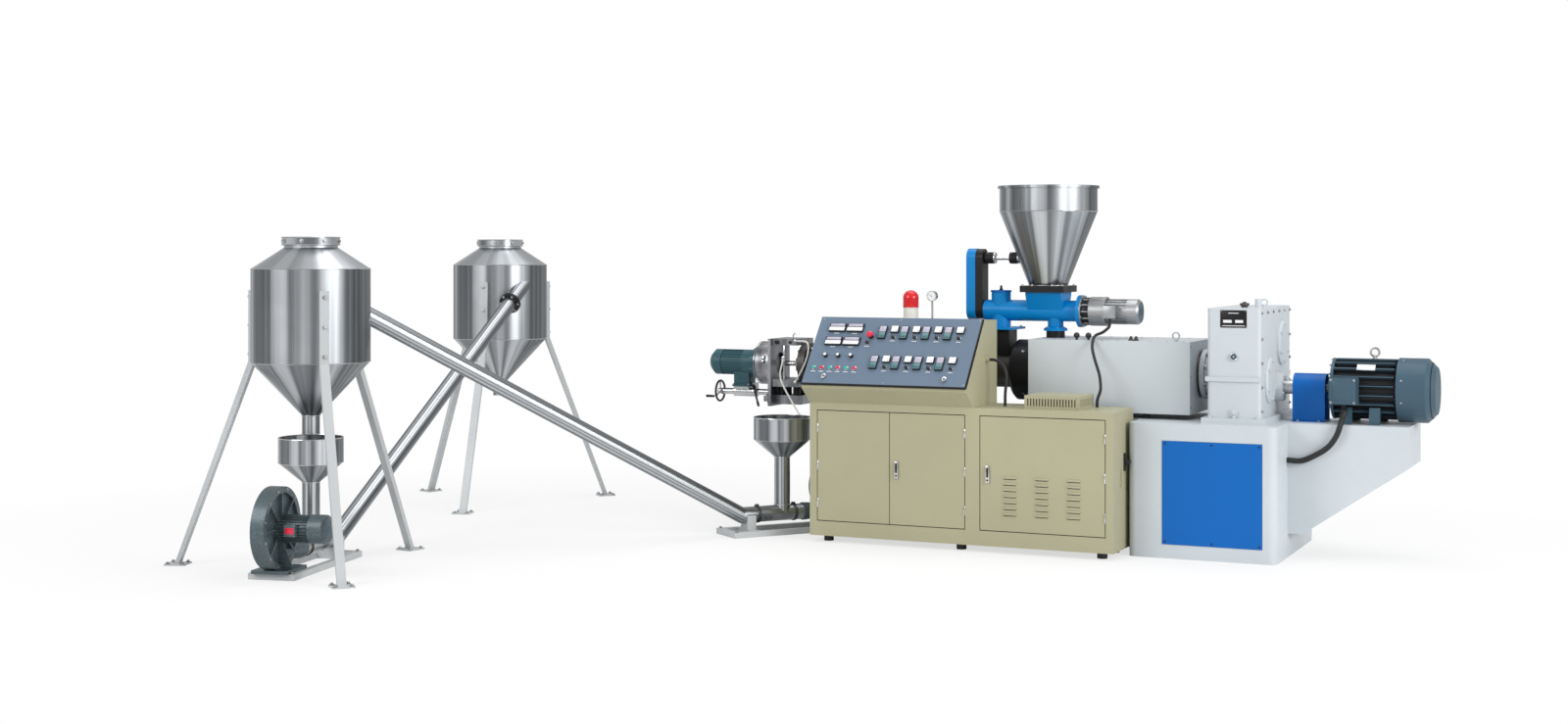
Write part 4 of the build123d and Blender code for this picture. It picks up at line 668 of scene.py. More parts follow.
# %% [markdown]
# ## Turning a bmesh into a piece
# A finished piece gets its material, picked by its slot name unless one is given, and the body that it
# rides on in one call, so nothing can be left behind when a door opens.


# %% Piece helper
SMOOTH_BELOW = math.radians(35)


def piece(name, mesh, slot_name, body="plant", material=None):
    bmesh.ops.recalc_face_normals(mesh, faces=mesh.faces)
    data = bpy.data.meshes.new(name)
    mesh.to_mesh(data)
    mesh.free()
    data.polygons.foreach_set("use_smooth", [True] * len(data.polygons))
    data.set_sharp_from_angle(angle=SMOOTH_BELOW)
    data.materials.append(material or finishes[slot_name])
    made = bpy.data.objects.new(name, data)
    bpy.context.scene.collection.objects.link(made)
    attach(made, body)
    print(name, len(data.polygons), "faces")
    return made


def bolts(name, places, size, body="plant", slot_name="bright_steel", add=add_bolt):
    mesh = bmesh.new()
    for place in places:
        add(mesh, place, size)
    piece(name, mesh, slot_name, body, bolt_steel if slot_name == "bright_steel" else None)


def screws(name, places, radius, body="plant", slot_name="bright_steel"):
    bolts(name, places, radius, body, slot_name, add_screw)


bolt_steel = plain_metal("zinc_plated_bolts", (0.46, 0.47, 0.48), 0.32, 150.0)
chrome = finishes["gauge_metal"]
print("edges stay sharp above", round(math.degrees(SMOOTH_BELOW)), "degrees")

# %% [markdown]
# ## The operating panel
# The panel carries temperature controllers in pairs with small square displays, four wide meters, selector
# and dial knobs, a row of push buttons and a mushroom stop. Each place is given in millimetres along the
# panel and down its slope, as on a drawing of it, and one function turns that into a place in space. Plain
# pale strips stand beside the knobs.

# %% Panel places
PANEL_CORNER = Vector((-2.36, -0.613, 1.37))
PANEL_DOWN = Vector((0, -0.6275, -0.7787))
PANEL_OUT = Vector((0, -0.7787, 0.6275))
PANEL_LIFT = 0.017
INSTRUMENT_HEIGHT = 0.014


def on_panel(across, down, height=0.0):
    point = PANEL_CORNER + Vector((across / 1000, 0, 0)) + PANEL_DOWN * (down / 1000)
    return facing(point + PANEL_OUT * (PANEL_LIFT + height), PANEL_OUT)


controllers = [(439 + 142 * column, 118 + 226 * row) for row in (0, 1) for column in range(4)]
meters = [(132 + 120 * column, 88 + 103 * row) for row in (0, 1) for column in (0, 1)]
print("controllers:", len(controllers), "meters:", len(meters))

# %% Controller windows, keypads and displays
window = moulded("display_window", (0.44, 0.42, 0.52), 0.12, 0.02)
keypad = moulded("keypad_teal", (0.09, 0.20, 0.22), 0.28, 0.05)
white_face = moulded("instrument_white", (0.78, 0.79, 0.80), 0.3, 0.04)
windows, keypads, faces, keys = bmesh.new(), bmesh.new(), bmesh.new(), bmesh.new()
for across, down in controllers:
    face = on_panel(across, down, INSTRUMENT_HEIGHT - 0.0004)
    add_box(windows, moved(face, y=0.022), (0.042, 0.042, 0.0020), 0.0006)
    add_box(keypads, moved(face, y=-0.0235), (0.042, 0.041, 0.0020), 0.0006)
    for number in range(4):
        key = moved(face, -0.0135 + 0.009 * number, -0.034, 0.0018)
        add_drum(keys, key, 0.0030, 0.0014, 0.0004)
    square = on_panel(across + 77, down - 24, INSTRUMENT_HEIGHT - 0.0004)
    add_box(faces, square, (0.043, 0.043, 0.0024), 0.0008)
    add_drum(keys, moved(square, 0.013, -0.013, 0.0022), 0.0028, 0.0014, 0.0004)
for across, down in meters:
    face = on_panel(across, down, INSTRUMENT_HEIGHT - 0.0004)
    add_box(windows, moved(face, y=0.016), (0.094, 0.020, 0.0018), 0.0006)
    add_box(faces, moved(face, y=-0.013), (0.102, 0.026, 0.0030), 0.0010)
piece("display_windows", windows, "instrument_plastic", "panel", material=window)
piece("controller_keypads", keypads, "instrument_plastic", "panel", material=keypad)
piece("display_faces", faces, "white_plastic", "panel", material=white_face)
piece("display_keys", keys, "button_plastic", "panel")

# %% [markdown]
# Each knob is a skirted drum with a raised grip, and each push button a coloured cap in a chrome bezel.
# They replace the plain round stubs of the solid model, at the same places. A spun profile could make a
# knob as well, but a drum with a rounded bar on it reads the same at this size.

# %% Knobs and buttons
grips, chromes, caps = bmesh.new(), bmesh.new(), bmesh.new()
greens, reds, strips = bmesh.new(), bmesh.new(), bmesh.new()
for across, down in [(a + 77, d + 36) for a, d in controllers] + [(357, 198)]:
    spot = on_panel(across, down)
    add_drum(chromes, spot, 0.0135, 0.004, 0.001, 28)
    add_drum(grips, moved(spot, z=0.003), 0.0118, 0.010, 0.0015, 28)
    ridge = turned(spot, 38)
    add_box(grips, moved(ridge, z=0.008), (0.0065, 0.0250, 0.016), 0.0022)
    add_box(strips, moved(spot, y=-0.022, z=-0.0002), (0.030, 0.0050, 0.0006))
for column in range(3):
    spot = on_panel(107 + 85 * column, 301)
    add_drum(grips, spot, 0.0135, 0.020, 0.0015, 20)
    add_drum(caps, moved(spot, z=0.0195), 0.0095, 0.0045, 0.001, 24)
for column in range(6):
    spot = on_panel(52 + 54 * column, 392)
    add_drum(chromes, spot, 0.0145, 0.006, 0.0015, 28)
    colour = greens if column % 2 == 0 else reds
    add_drum(colour, moved(spot, z=0.005), 0.0110, 0.008, 0.0022, 24)
    add_box(strips, moved(spot, y=-0.024, z=-0.0002), (0.030, 0.0050, 0.0006))
for across, down in meters:
    add_box(strips, moved(on_panel(across, down), y=-0.038, z=-0.0002), (0.034, 0.0050, 0.0006))
stop = on_panel(370, 150)
add_drum(grips, stop, 0.0160, 0.012, 0.002, 28)
add_drum(reds, moved(stop, z=0.012), 0.0100, 0.012, 0.001, 24)
add_drum(reds, moved(stop, z=0.022), 0.0220, 0.018, 0.0060, 32, 0.019)
for across in (136, 918):
    latch = on_panel(across, 456)
    add_drum(chromes, latch, 0.0165, 0.013, 0.003, 32)
    add_drum(grips, moved(latch, z=0.0128), 0.0050, 0.0012, 0.0003, 18)
    add_box(chromes, moved(latch, -0.008, -0.010, 0.013), (0.007, 0.024, 0.0022), 0.0007)
knobs = piece("panel_knobs", grips, "button_plastic", "panel")
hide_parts("panel_buttons")
piece("button_bezels", chromes, "gauge_metal", "panel")
piece("dial_caps", caps, "white_plastic", "panel", material=white_face)
green = moulded("button_green", (0.03, 0.42, 0.30), 0.22, 0.03)
red = moulded("button_red", (0.68, 0.02, 0.06), 0.22, 0.03)
piece("push_buttons_green", greens, "button_plastic", "panel", material=green)
piece("push_buttons_red", reds, "red_plastic", "panel", material=red)
piece("bare_label_strips", strips, "white_plastic", "panel", material=white_face)

# %% [markdown]
# A folded edge strip in black runs along the foot and the right end of the panel, and flat screws hold the
# panel down along its upper and lower edges.

# %% Panel edging
edging = bmesh.new()
add_box(edging, moved(on_panel(532.5, 508), z=-0.0125), (1.065, 0.008, 0.0135), 0.001)
add_box(edging, moved(on_panel(1061, 256), z=-0.0125), (0.008, 0.512, 0.0135), 0.001)
piece("panel_edging", edging, "black_paint", "panel")
screws("panel_screws", [on_panel(a, d) for a in (18, 532, 1046) for d in (16, 490)], 0.005, "panel")

# %% [markdown]
# ## Beacon and pressure gauge
# The beacon lens is one turned profile with fine ribs, spun round its axis. A sphere on a cylinder could be
# cut into ribs too, but a profile keeps foot, ribs and dome in one list of points. The gauge gets a white
# dial, an arc of ticks, a needle and a chrome bezel.

# %% Beacon lens
LENS_LOW, LENS_SHOULDER, LENS_RADIUS = BEACON_FOOT, 1.500, 0.0495
profile = [(0.0, LENS_LOW), (LENS_RADIUS, LENS_LOW)]
for rib in range(9):
    height = LENS_LOW + 0.002 + 0.0064 * rib
    profile += [(LENS_RADIUS, height), (LENS_RADIUS - 0.0018, height + 0.0032)]
for turn in range(0, 90, 10):
    angle = math.radians(turn)
    radius = LENS_RADIUS * math.cos(angle)
    profile.append((radius, LENS_SHOULDER + LENS_RADIUS * math.sin(angle)))
profile.append((0.0, LENS_SHOULDER + LENS_RADIUS))
lens = bmesh.new()
verts = [lens.verts.new((BEACON.x + radius, BEACON.y, height)) for radius, height in profile]
edges = [lens.edges.new(pair) for pair in zip(verts, verts[1:])]
full_turn(lens, verts + edges, BEACON, UP, 48)
bmesh.ops.remove_doubles(lens, verts=lens.verts, dist=0.00001)
beacon = piece("beacon_lens", lens, "red_plastic")
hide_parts("beacon_dome")
foot = bmesh.new()
add_ring(foot, facing(above(BEACON, 1.376), UP), 0.047, 0.005, 40)
add_ring(foot, facing(above(BEACON, LENS_LOW - 0.001), UP), 0.047, 0.003, 40)
piece("beacon_rings", foot, "white_plastic")

# %% Gauge dial
dial, marks, bezel = bmesh.new(), bmesh.new(), bmesh.new()
gauge = facing((-1.668, GAUGE_FRONT, 1.515), FRONT)
add_drum(dial, moved(gauge, z=-0.001), 0.0285, 0.0016, 0, 40)
add_ring(bezel, gauge, 0.0300, 0.0024, 40)
for number in range(11):
    ray = turned(gauge, 225 - 27 * number)
    add_box(marks, moved(ray, x=0.0240, z=0.0004), (0.0050, 0.0010, 0.0005))
needle = turned(gauge, 150)
add_box(marks, moved(needle, x=0.009, z=0.0010), (0.024, 0.0012, 0.0008))
add_drum(marks, gauge, 0.003, 0.0025, 0.0004, 16)
piece("gauge_dial", dial, "white_plastic", material=white_face)
piece("gauge_marks", marks, "button_plastic")
piece("gauge_bezel", bezel, "gauge_metal")

# %% [markdown]
# ## Control cabinet fittings
# The right door has three columns of pressed louvres, each a rounded hood over a black strip, which is
# painted shade for the opening under the hood. The openings could be cut through the sheet, but nothing
# shows behind them, so hoods laid on the door look the same. Hoods and locks ride on their own door and
# swing with it. The hinge knuckles stand on the hinge axes, where a turning door doesn't touch them.

# %% Louvres
hoods, slots = bmesh.new(), bmesh.new()
for column_x in (-1.066, -0.870, -0.676):
    for row in range(7):
        spot = facing((column_x, CABINET_FRONT, 0.452 - 0.036 * row), FRONT)
        add_box(hoods, moved(spot, z=-0.002), (0.082, 0.013, 0.010), 0.0040)
        # Black strip under each hood: painted shade for the louvre opening.
        add_box(slots, moved(spot, y=-0.0085, z=-0.001), (0.076, 0.0045, 0.0018))
piece("louvre_hoods", hoods, "beige_paint", "door_right")
piece("louvre_slot_painted_shade", slots, "black_paint", "door_right")

# %% Locks and hinges
for name, lock_x, body in (("middle", -1.783, "door_middle"), ("right", -1.202, "door_right")):
    lock, grip = bmesh.new(), bmesh.new()
    spot = facing((lock_x, CABINET_FRONT - 0.012, 0.466), FRONT)
    add_box(lock, moved(spot, z=-0.0115), (0.0235, 0.1015, 0.0130), 0.002)
    add_box(grip, moved(spot, y=0.012, z=0.0008), (0.013, 0.058, 0.0022), 0.0008)
    add_drum(grip, moved(spot, y=-0.034, z=0.0008), 0.0065, 0.0016, 0.0004, 20)
    piece(f"lock_face_{name}", lock, "gauge_metal", body)
    piece(f"lock_grip_{name}", grip, "button_plastic", body)
knuckles = bmesh.new()
for hinge_x in (-2.307, -1.350, -0.490):
    for low in (0.215, 0.445, 0.675):
        add_drum(knuckles, facing((hinge_x, CABINET_FRONT, low), UP), 0.0055, 0.055, 0.001, 16)
piece("hinge_knuckles", knuckles, "gauge_metal")
side_lock = bmesh.new()
lock_spot = facing((-0.440, -0.584, 0.552), RIGHT)
add_box(side_lock, moved(lock_spot, z=-0.001), (0.030, 0.105, 0.009), 0.003)
add_drum(side_lock, moved(lock_spot, z=0.006), 0.0120, 0.018, 0.002, 24)
add_box(side_lock, moved(lock_spot, x=0.048, z=0.022), (0.118, 0.024, 0.012), 0.005)
piece("side_lock_grip", side_lock, "button_plastic")
screws(
    "cabinet_screws",
    corners(facing((-0.8325, -0.745, 0.898), FRONT), 0.310, 0.060)
    + [facing((x, -0.60, CABINET_TOP), UP) for x in (-1.22, -1.03, -0.62, -0.47)],
    0.0045,
)

# %% [markdown]
# ## Hopper and feeder fittings
# Welded seams are thin raised rings: a small circle spun round the shell's axis closes on itself, and needs
# no cut in the shell. Flanges are bolted round their rims, and the silver gearmotor carries ribs, a lidded
# junction box and a fan grille.

# %% Hopper seams and flange bolts
seams = bmesh.new()
add_ring(seams, facing(above(HOPPER, 2.040), UP), 0.3050, 0.0026, 64, 6)
add_ring(seams, facing(above(HOPPER, HOPPER_FOOT + 0.002), UP), 0.1210, 0.0030, 48, 6)
add_box(seams, facing((HOPPER[0], 0.3045, 2.12), BACK), (0.006, 0.150, 0.0022), 0.0007)
piece("hopper_seams", seams, "stainless", material=finishes["gauge_metal"])
rim_top = facing(above(HOPPER, HOPPER_FOOT), UP)
rim_places = corners(rim_top, 0.256, 0.256) + corners(rim_top, 0.128, 0.266)
bolts("hopper_flange_bolts", rim_places, 0.013)

# %% Feeder caps, flange and bolts
FEEDER_LEG = -1.396
caps, studs = bmesh.new(), bmesh.new()
leg_cap = facing((FEEDER_LEG, 0, FEEDER_TOP), UP)
add_drum(caps, moved(leg_cap, z=-0.008), 0.0660, 0.012, 0.002, 40)
piece("feeder_leg_cap", caps, "blue_paint")
add_drum(studs, moved(leg_cap, z=0.0035), 0.0120, 0.010, 0.001, 6)
add_drum(studs, moved(leg_cap, z=0.012), 0.0075, 0.022, 0.002, 16)
piece("feeder_cap_plug", studs, "black_paint")
end_flange = bmesh.new()
adapter = facing((-0.862, 0, FEEDER_AXIS), RIGHT)
add_drum(end_flange, adapter, 0.0990, 0.009, 0.0015, 48)
for spot in around(adapter, 0.0835, 12):
    add_box(end_flange, moved(spot, z=0.008), (0.007, 0.007, 0.051), 0.001)
add_ring(end_flange, moved(adapter, z=0.059), 0.0875, 0.0030, 48, 6)
add_ring(end_flange, moved(adapter, z=0.156), 0.0885, 0.0030, 48, 6)
piece("gearmotor_flange", end_flange, "cast_aluminium")
# A black drum under the flange ribs is painted shade, darkening the gaps between the ribs.
rib_painted_shade = bmesh.new()
add_drum(rib_painted_shade, moved(adapter, z=0.0095), 0.0847, 0.0465, 0.0005, 48)
piece("gearmotor_rib_painted_shade", rib_painted_shade, "cast_aluminium", material=finishes["black_paint"])
flange_bolts = around(moved(adapter, z=0.009), 0.0925, 8, 22.5)
flange_bolts += around(facing((-1.038, 0, 1.307), UP), 0.0615, 6)
flange_bolts += corners(facing((FEEDER_LEG, 0, 1.312), UP), 0.196, 0.196)
bolts("feeder_bolts", flange_bolts, 0.0105)

# %% Gearmotor box lid and fan grille
def add_grille(mesh, place, radii, wire, bar, soft):
    for radius in radii:
        add_ring(mesh, place, radius, wire, 36, 6)
    for number in range(4):
        add_box(mesh, moved(turned(place, 45 * number), z=-0.001), bar, soft)


lid, grille = bmesh.new(), bmesh.new()
lid_place = facing((-0.661, -0.126, FEEDER_AXIS), FRONT)
add_box(lid, moved(lid_place, z=-0.001), (0.078, 0.076, 0.0065), 0.003)
piece("junction_lid", lid, "cast_aluminium")
screws("junction_screws", corners(moved(lid_place, z=0.0055), 0.062, 0.060), 0.0036)
fan_end = facing((-0.492, 0, FEEDER_AXIS), RIGHT)
fan_rings = (0.016, 0.028, 0.040, 0.052, 0.064)
add_grille(grille, fan_end, fan_rings, 0.0014, (0.130, 0.003, 0.0025), 0.0006)
piece("gearmotor_grille", grille, "cast_aluminium", material=finishes["slate_paint"])

# %% [markdown]
# The agitator is driven through rubber jaw couplings. A sleeve with six jaws turns with the shaft, and a
# second one stands on the hopper's boss. One loop makes both, and says which body each one rides on.

# %% Couplings
for name, left, length, body in (
    ("agitator_coupling", -1.5015, 0.0650, "agitator"),
    ("hopper_boss_sleeve", -1.3350, 0.0560, "plant"),
):
    sleeve = bmesh.new()
    start = facing((left, 0, AGITATOR_AXIS), RIGHT)
    add_drum(sleeve, start, 0.0366, length * 0.62, 0.002, 40)
    add_drum(sleeve, moved(start, z=length * 0.62), 0.0364, length * 0.38, 0.002, 40)
    for spot in around(moved(start, z=length * 0.40), 0.0345, 6):
        add_box(sleeve, spot, (0.006, 0.013, length * 0.36), 0.0015)
    add_ring(sleeve, moved(start, z=length * 0.62), 0.0362, 0.0012, 40, 6)
    piece(name, sleeve, "black_plastic", body, material=finishes["black_paint"])
screws(
    "chain_guard_screws",
    [facing((-1.61, y, z), LEFT) for y in (-0.042, 0.042) for z in (1.425, 1.58, 1.74)],
    0.005,
)

# %% [markdown]
# ## Barrel cover and gearbox
# Screws run along the cover's top edges, two ball knobs and an eyebolt stand on it, and the gearbox shows
# bolted plate edges, a bare black plate, an oil glass and a breather. Bolts of one colour share one piece,
# so a plate with a dozen of them adds a single object.


# %% Eyebolt and ball helper
def add_eyebolt(mesh, place, radius, wire):
    add_drum(mesh, moved(place, z=-0.001), wire * 2.2, wire * 1.4, wire * 0.3, 20)
    add_drum(mesh, moved(place, z=wire), wire * 1.2, wire * 1.6, wire * 0.2, 16)
    stand = turned(moved(place, z=radius + wire * 2.4), 90, "X")
    add_ring(mesh, stand, radius, wire, 32, 10)


def add_ball(mesh, place, radius):
    bmesh.ops.create_uvsphere(mesh, u_segments=20, v_segments=12, radius=radius, matrix=place)


print("eyebolt and ball helpers ready")

# %% Cover fittings
balls, eyes, collar_marks = bmesh.new(), bmesh.new(), bmesh.new()
for knob_x in (-0.827, -0.753):
    top = facing((knob_x, -0.25, COVER_TOP), UP)
    add_drum(balls, top, 0.0075, 0.012, 0.001, 16)
    add_ball(balls, moved(top, z=0.027), 0.0185)
piece("cover_ball_knobs", balls, "button_plastic")
clamp_top = facing((-0.478, -0.23, COVER_TOP), UP)
clamps = bmesh.new()
for side in (-0.016, 0.016):
    add_drum(clamps, moved(clamp_top, x=side), 0.0125, 0.016, 0.002, 6)
    add_drum(clamps, moved(clamp_top, x=side, z=0.015), 0.0080, 0.012, 0.0015, 18)
add_box(clamps, clamp_top, (0.062, 0.022, 0.005), 0.001)
piece("cover_clamp", clamps, "dark_steel")
add_eyebolt(eyes, facing((-0.224, -0.21, COVER_TOP), UP), 0.020, 0.0055)
add_eyebolt(eyes, facing((0.285, -0.12, GEARBOX_TOP), UP), 0.018, 0.0050)
piece("white_eyebolts", eyes, "light_grey_paint")
cover_places = [
    facing((-1.06 + 0.1 * number, y, COVER_TOP), UP) for number in range(10) for y in (-0.284, 0.284)
]
cover_places += [
    facing((COVER_RIGHT, y, z), RIGHT) for y in (-0.27, 0.27) for z in (0.86, 1.04, 1.22)
]
screws("cover_screws", cover_places, 0.0055, slot_name="black_paint")
for angle in (-50, 40, 130, 220):
    way = way_at(angle, UP, BACK)
    spot = facing(Vector((-1.205, 0, SCREW_AXIS)) + way * 0.190, way)
    add_ring(collar_marks, spot, 0.0095, 0.0016, 24, 6)
    add_drum(collar_marks, moved(spot, z=-0.001), 0.0070, 0.0016, 0.0003, 6)
piece("collar_screw_holes", collar_marks, "bright_steel", material=bolt_steel)

# %% Gearbox bolts
GEARBOX_RIGHT, GEARBOX_FRONT, BOLT_EDGE = 0.330, -0.438, 0.412
bolt_spots = [(y, z) for y in (-BOLT_EDGE, BOLT_EDGE) for z in (0.86, 1.0, 1.14, 1.28)]
bolt_spots += [(-BOLT_EDGE + 0.1648 * number, 1.432) for number in range(6)]
plate_bolts = [facing((GEARBOX_RIGHT, y, z), RIGHT) for y, z in bolt_spots]
gear_bolts = bmesh.new()
for spot in plate_bolts:
    add_bolt(gear_bolts, spot, 0.012)
for spot in around(facing((-0.074, 0, SCREW_AXIS), RIGHT), 0.1355, 8, 22.5):
    add_bolt(gear_bolts, spot, 0.019)
piece("gearbox_plate_bolts", gear_bolts, "bright_steel", material=bolt_steel)
painted = bmesh.new()
for y, z in ((0.150, 1.240), (-0.215, 1.034)):
    for spot in around(facing((GEARBOX_LIDS_RIGHT, y, z), RIGHT), 0.112, 6, 30):
        add_bolt(painted, spot, 0.013)
for spot in around(facing((0.380, 0, MOTOR_AXIS), RIGHT), 0.066, 6, 30):
    add_bolt(painted, spot, 0.012)
for side in (-1, 1):
    for x in (0.035, 0.174, 0.312):
        add_bolt(painted, facing((x, side * 0.4535, 0.819), UP), 0.017)
    for x in (0.06, 0.288):
        add_bolt(painted, facing((x, side * 0.444, 1.059), UP), 0.006)
add_drum(painted, facing((0.174, GEARBOX_LIDS_FRONT, 0.850), FRONT), 0.013, 0.006, 0.002, 6)
piece("gearbox_painted_bolts", painted, "light_grey_paint")

# %% Gearbox plate, oil glass and breather
plate, fields = bmesh.new(), bmesh.new()
plate_place = facing((0.171, GEARBOX_FRONT, 1.397), FRONT)
add_box(plate, moved(plate_place, z=-0.0005), (0.154, 0.102, 0.0022), 0.0006)
for x, y, width, tall in (
    (0, 0.034, 0.060, 0.004),
    (-0.035, -0.014, 0.050, 0.016),
    (0.033, -0.014, 0.046, 0.016),
    (0, -0.040, 0.130, 0.004),
):
    add_box(fields, moved(plate_place, x, y, 0.0016), (width, tall, 0.0004))
piece("gearbox_bare_plate", plate, "black_paint")
piece("plate_blank_fields", fields, "white_plastic", material=white_face)
screws("plate_rivets", corners(moved(plate_place, z=0.0016), 0.142, 0.090), 0.0026)
glass, rim = bmesh.new(), bmesh.new()
oil = facing((0.174, GEARBOX_LIDS_FRONT, 1.178), FRONT)
add_ring(rim, oil, 0.0195, 0.0035, 36, 8)
add_drum(glass, moved(oil, z=-0.001), 0.0170, 0.0025, 0.0008, 32)
add_drum(rim, moved(oil, z=0.001), 0.0060, 0.0030, 0.0006, 6)
piece("oil_glass_rim", rim, "gauge_metal")
piece("oil_glass", glass, "slate_paint")
breather = bmesh.new()
cap = facing((0.187, -0.21, GEARBOX_TOP), UP)
add_drum(breather, cap, 0.020, 0.010, 0.002, 6)
add_drum(breather, moved(cap, z=0.009), 0.027, 0.018, 0.004, 28)
add_drum(breather, moved(cap, z=0.026), 0.011, 0.008, 0.002, 20)
piece("gearbox_filler_cap", breather, "dark_steel")

# %% [markdown]
# ## Main motor, guard and bed
# The motor has an eyebolt, a lidded terminal box, a bare plate and a slotted end cowl. The slots are thin
# black blocks laid on the cowl, painted shade for the dark openings: cutting them through it would take far
# more faces and look the same.

# %% Motor details
ring, box_lid, cowl_slots = bmesh.new(), bmesh.new(), bmesh.new()
add_eyebolt(ring, facing((0.904, 0, 1.160), UP), 0.0245, 0.0065)
piece("motor_eyebolt", ring, "bright_steel", material=bolt_steel)
box_face = facing((0.758, -0.240, 0.9805), FRONT)
add_box(box_lid, moved(box_face, z=-0.001), (0.150, 0.149, 0.0125), 0.005)
add_box(box_lid, moved(box_face, z=0.010), (0.112, 0.111, 0.0045), 0.0018)
for number in range(12):
    way = way_at(-35 + 22 * number)
    lug = facing(Vector((0.668, 0, MOTOR_AXIS)) + way * 0.176, way)
    add_box(box_lid, lug, (0.012, 0.010, 0.0045), 0.001)
piece("motor_box_lid", box_lid, "slate_paint")
bolts("motor_box_bolts", corners(moved(box_face, z=0.0115), 0.132, 0.131), 0.008)
# Black blocks on the cowl are painted shade for its air slots.
for number in range(40):
    away = way_at(9 * number, BACK, UP)
    middle = Vector((1.2335, 0, MOTOR_AXIS)) + away * 0.1606
    slot_place = facing(middle, Vector(RIGHT) + away, away.cross(Vector(RIGHT)))
    add_box(cowl_slots, moved(slot_place, z=-0.0012), (0.0065, 0.046, 0.0018))
    face = Vector((1.2585, 0, MOTOR_AXIS)) + away * 0.098
    add_box(cowl_slots, facing(face, RIGHT, away), (0.0055, 0.058, 0.0004))
piece("motor_cowl_slot_painted_shade", cowl_slots, "black_paint")
plate_way = way_at(48)
motor_plate = bmesh.new()
plate_spot = facing(Vector((0.872, 0, MOTOR_AXIS)) + plate_way * 0.1795, plate_way, UP)
add_box(motor_plate, plate_spot, (0.105, 0.048, 0.0016), 0.0005)
piece("motor_bare_plate", motor_plate, "bright_steel", material=bolt_steel)
cowl_screws = []
for angle in (20, 70, 110, 160, 200, 340):
    way = way_at(angle)
    cowl_screws.append(facing(Vector((1.075, 0, MOTOR_AXIS)) + way * 0.1875, way))
screws("cowl_screws", cowl_screws, 0.006)

# %% [markdown]
# Thin cooling fins stand in pairs between the broad ribs of the solid model. Their enamel is darker than
# the motor's, and a black drum behind them closes the gaps: both are painted shade for the deep shadow
# between real fins.

# %% Cooling fins of the motor
MOTOR_LEFT, MOTOR_RIGHT = 0.690, 1.044
core, fins = bmesh.new(), bmesh.new()
core_end = facing((MOTOR_LEFT, 0, MOTOR_AXIS), RIGHT)
add_drum(core, core_end, 0.1545, MOTOR_RIGHT - MOTOR_LEFT, 0.001, 64)
for number in range(40):
    way = way_at(18 * (number // 2) + 6 + 6 * (number % 2), BACK, UP)
    middle = Vector(((MOTOR_LEFT + MOTOR_RIGHT) / 2, 0, MOTOR_AXIS)) + way * 0.153
    add_box(fins, facing(middle, way, RIGHT), (0.0028, MOTOR_RIGHT - MOTOR_LEFT, 0.0225), 0.0008)
# The black core drum and the dark fin enamel are painted shade between the fins.
piece("motor_core_shade", core, "slate_paint", material=finishes["black_paint"])
piece("motor_thin_fins", fins, "slate_paint", material=finishes["fin_paint"])

# %% [markdown]
# Hexagon bolts hold the coupling guard down, and dark screws hold the blue panels of the bed.

# %% Hold-down bolts and panel screws
hold_down = [facing((x, y, 0.788), UP) for x in (0.475, 0.597) for y in (-0.0965, 0.0965)]
bolts("guard_bolts", hold_down, 0.011)
panel_screws = []
for x in (-0.199, 0.074, 0.348):
    for z in (0.098, 0.669):
        panel_screws.append(facing((x, BED_PANEL_FRONT, z), FRONT))
        panel_screws.append(facing((x, -BED_PANEL_FRONT, z), BACK))
screws("bed_panel_screws", panel_screws, 0.0065, slot_name="black_paint")

# %% [markdown]
# ## Hoses and wires
# A hose is a row of circles set along a smooth curve and bridged one to the next. A curve object with a
# round profile could do the same, but here each circle can have its own radius, which gives a corrugated
# conduit as easily as a plain hose. The curve passes through the given points, with the direction at each
# point taken from its neighbours.


# %% Hose helper
def smooth_path(points, steps=8):
    points = [Vector(point) for point in points]
    ends = [points[0] * 2 - points[1]] + points + [points[-1] * 2 - points[-2]]
    path = []
    for before, start, stop, after in zip(ends, ends[1:], ends[2:], ends[3:]):
        for step in range(steps):
            t = step / steps
            path.append(
                0.5
                * (
                    2 * start
                    + (stop - before) * t
                    + (2 * before - 5 * start + 4 * stop - after) * t * t
                    + (3 * start - before - 3 * stop + after) * t * t * t
                )
            )
    return path + [points[-1]]


def add_hose(mesh, path, radii, sides=10):
    rings = []
    side_way = Vector((0.3, 0.5, 0.8))
    for number, (point, radius) in enumerate(zip(path, radii)):
        ahead = path[min(number + 1, len(path) - 1)] - path[max(number - 1, 0)]
        frame_here = facing(point, ahead, side_way)
        side_way = frame_here.col[1].xyz
        capped = number in (0, len(path) - 1)
        made = bmesh.ops.create_circle(
            mesh, cap_ends=capped, segments=sides, radius=radius, matrix=frame_here
        )
        ring = set(made["verts"])
        rings.append([edge for edge in mesh.edges if ring.issuperset(edge.verts)])
    for first, second in zip(rings, rings[1:]):
        bmesh.ops.bridge_loops(mesh, edges=first + second)


def plain_hose(mesh, points, radius, sides=10):
    path = smooth_path(points)
    add_hose(mesh, path, [radius] * len(path), sides)


print("hose helper ready")

# %% Corrugated conduit of the main motor
conduit_path = smooth_path(
    [
        (0.758, -0.196, 0.9005),
        (0.758, -0.196, 0.864),
        (0.757, -0.232, 0.834),
        (0.752, -0.2745, 0.790),
        (0.728, -0.2785, 0.722),
        (0.682, -0.2725, 0.658),
        (0.614, -0.2685, 0.610),
        (0.530, -0.2625, 0.572),
        (0.4445, -0.2625, 0.572),
    ],
    12,
)
conduit = bmesh.new()
ridges = [0.0172 if number % 2 else 0.0152 for number in range(len(conduit_path))]
add_hose(conduit, conduit_path, ridges, 20)
piece("motor_conduit", conduit, "cable_rubber")

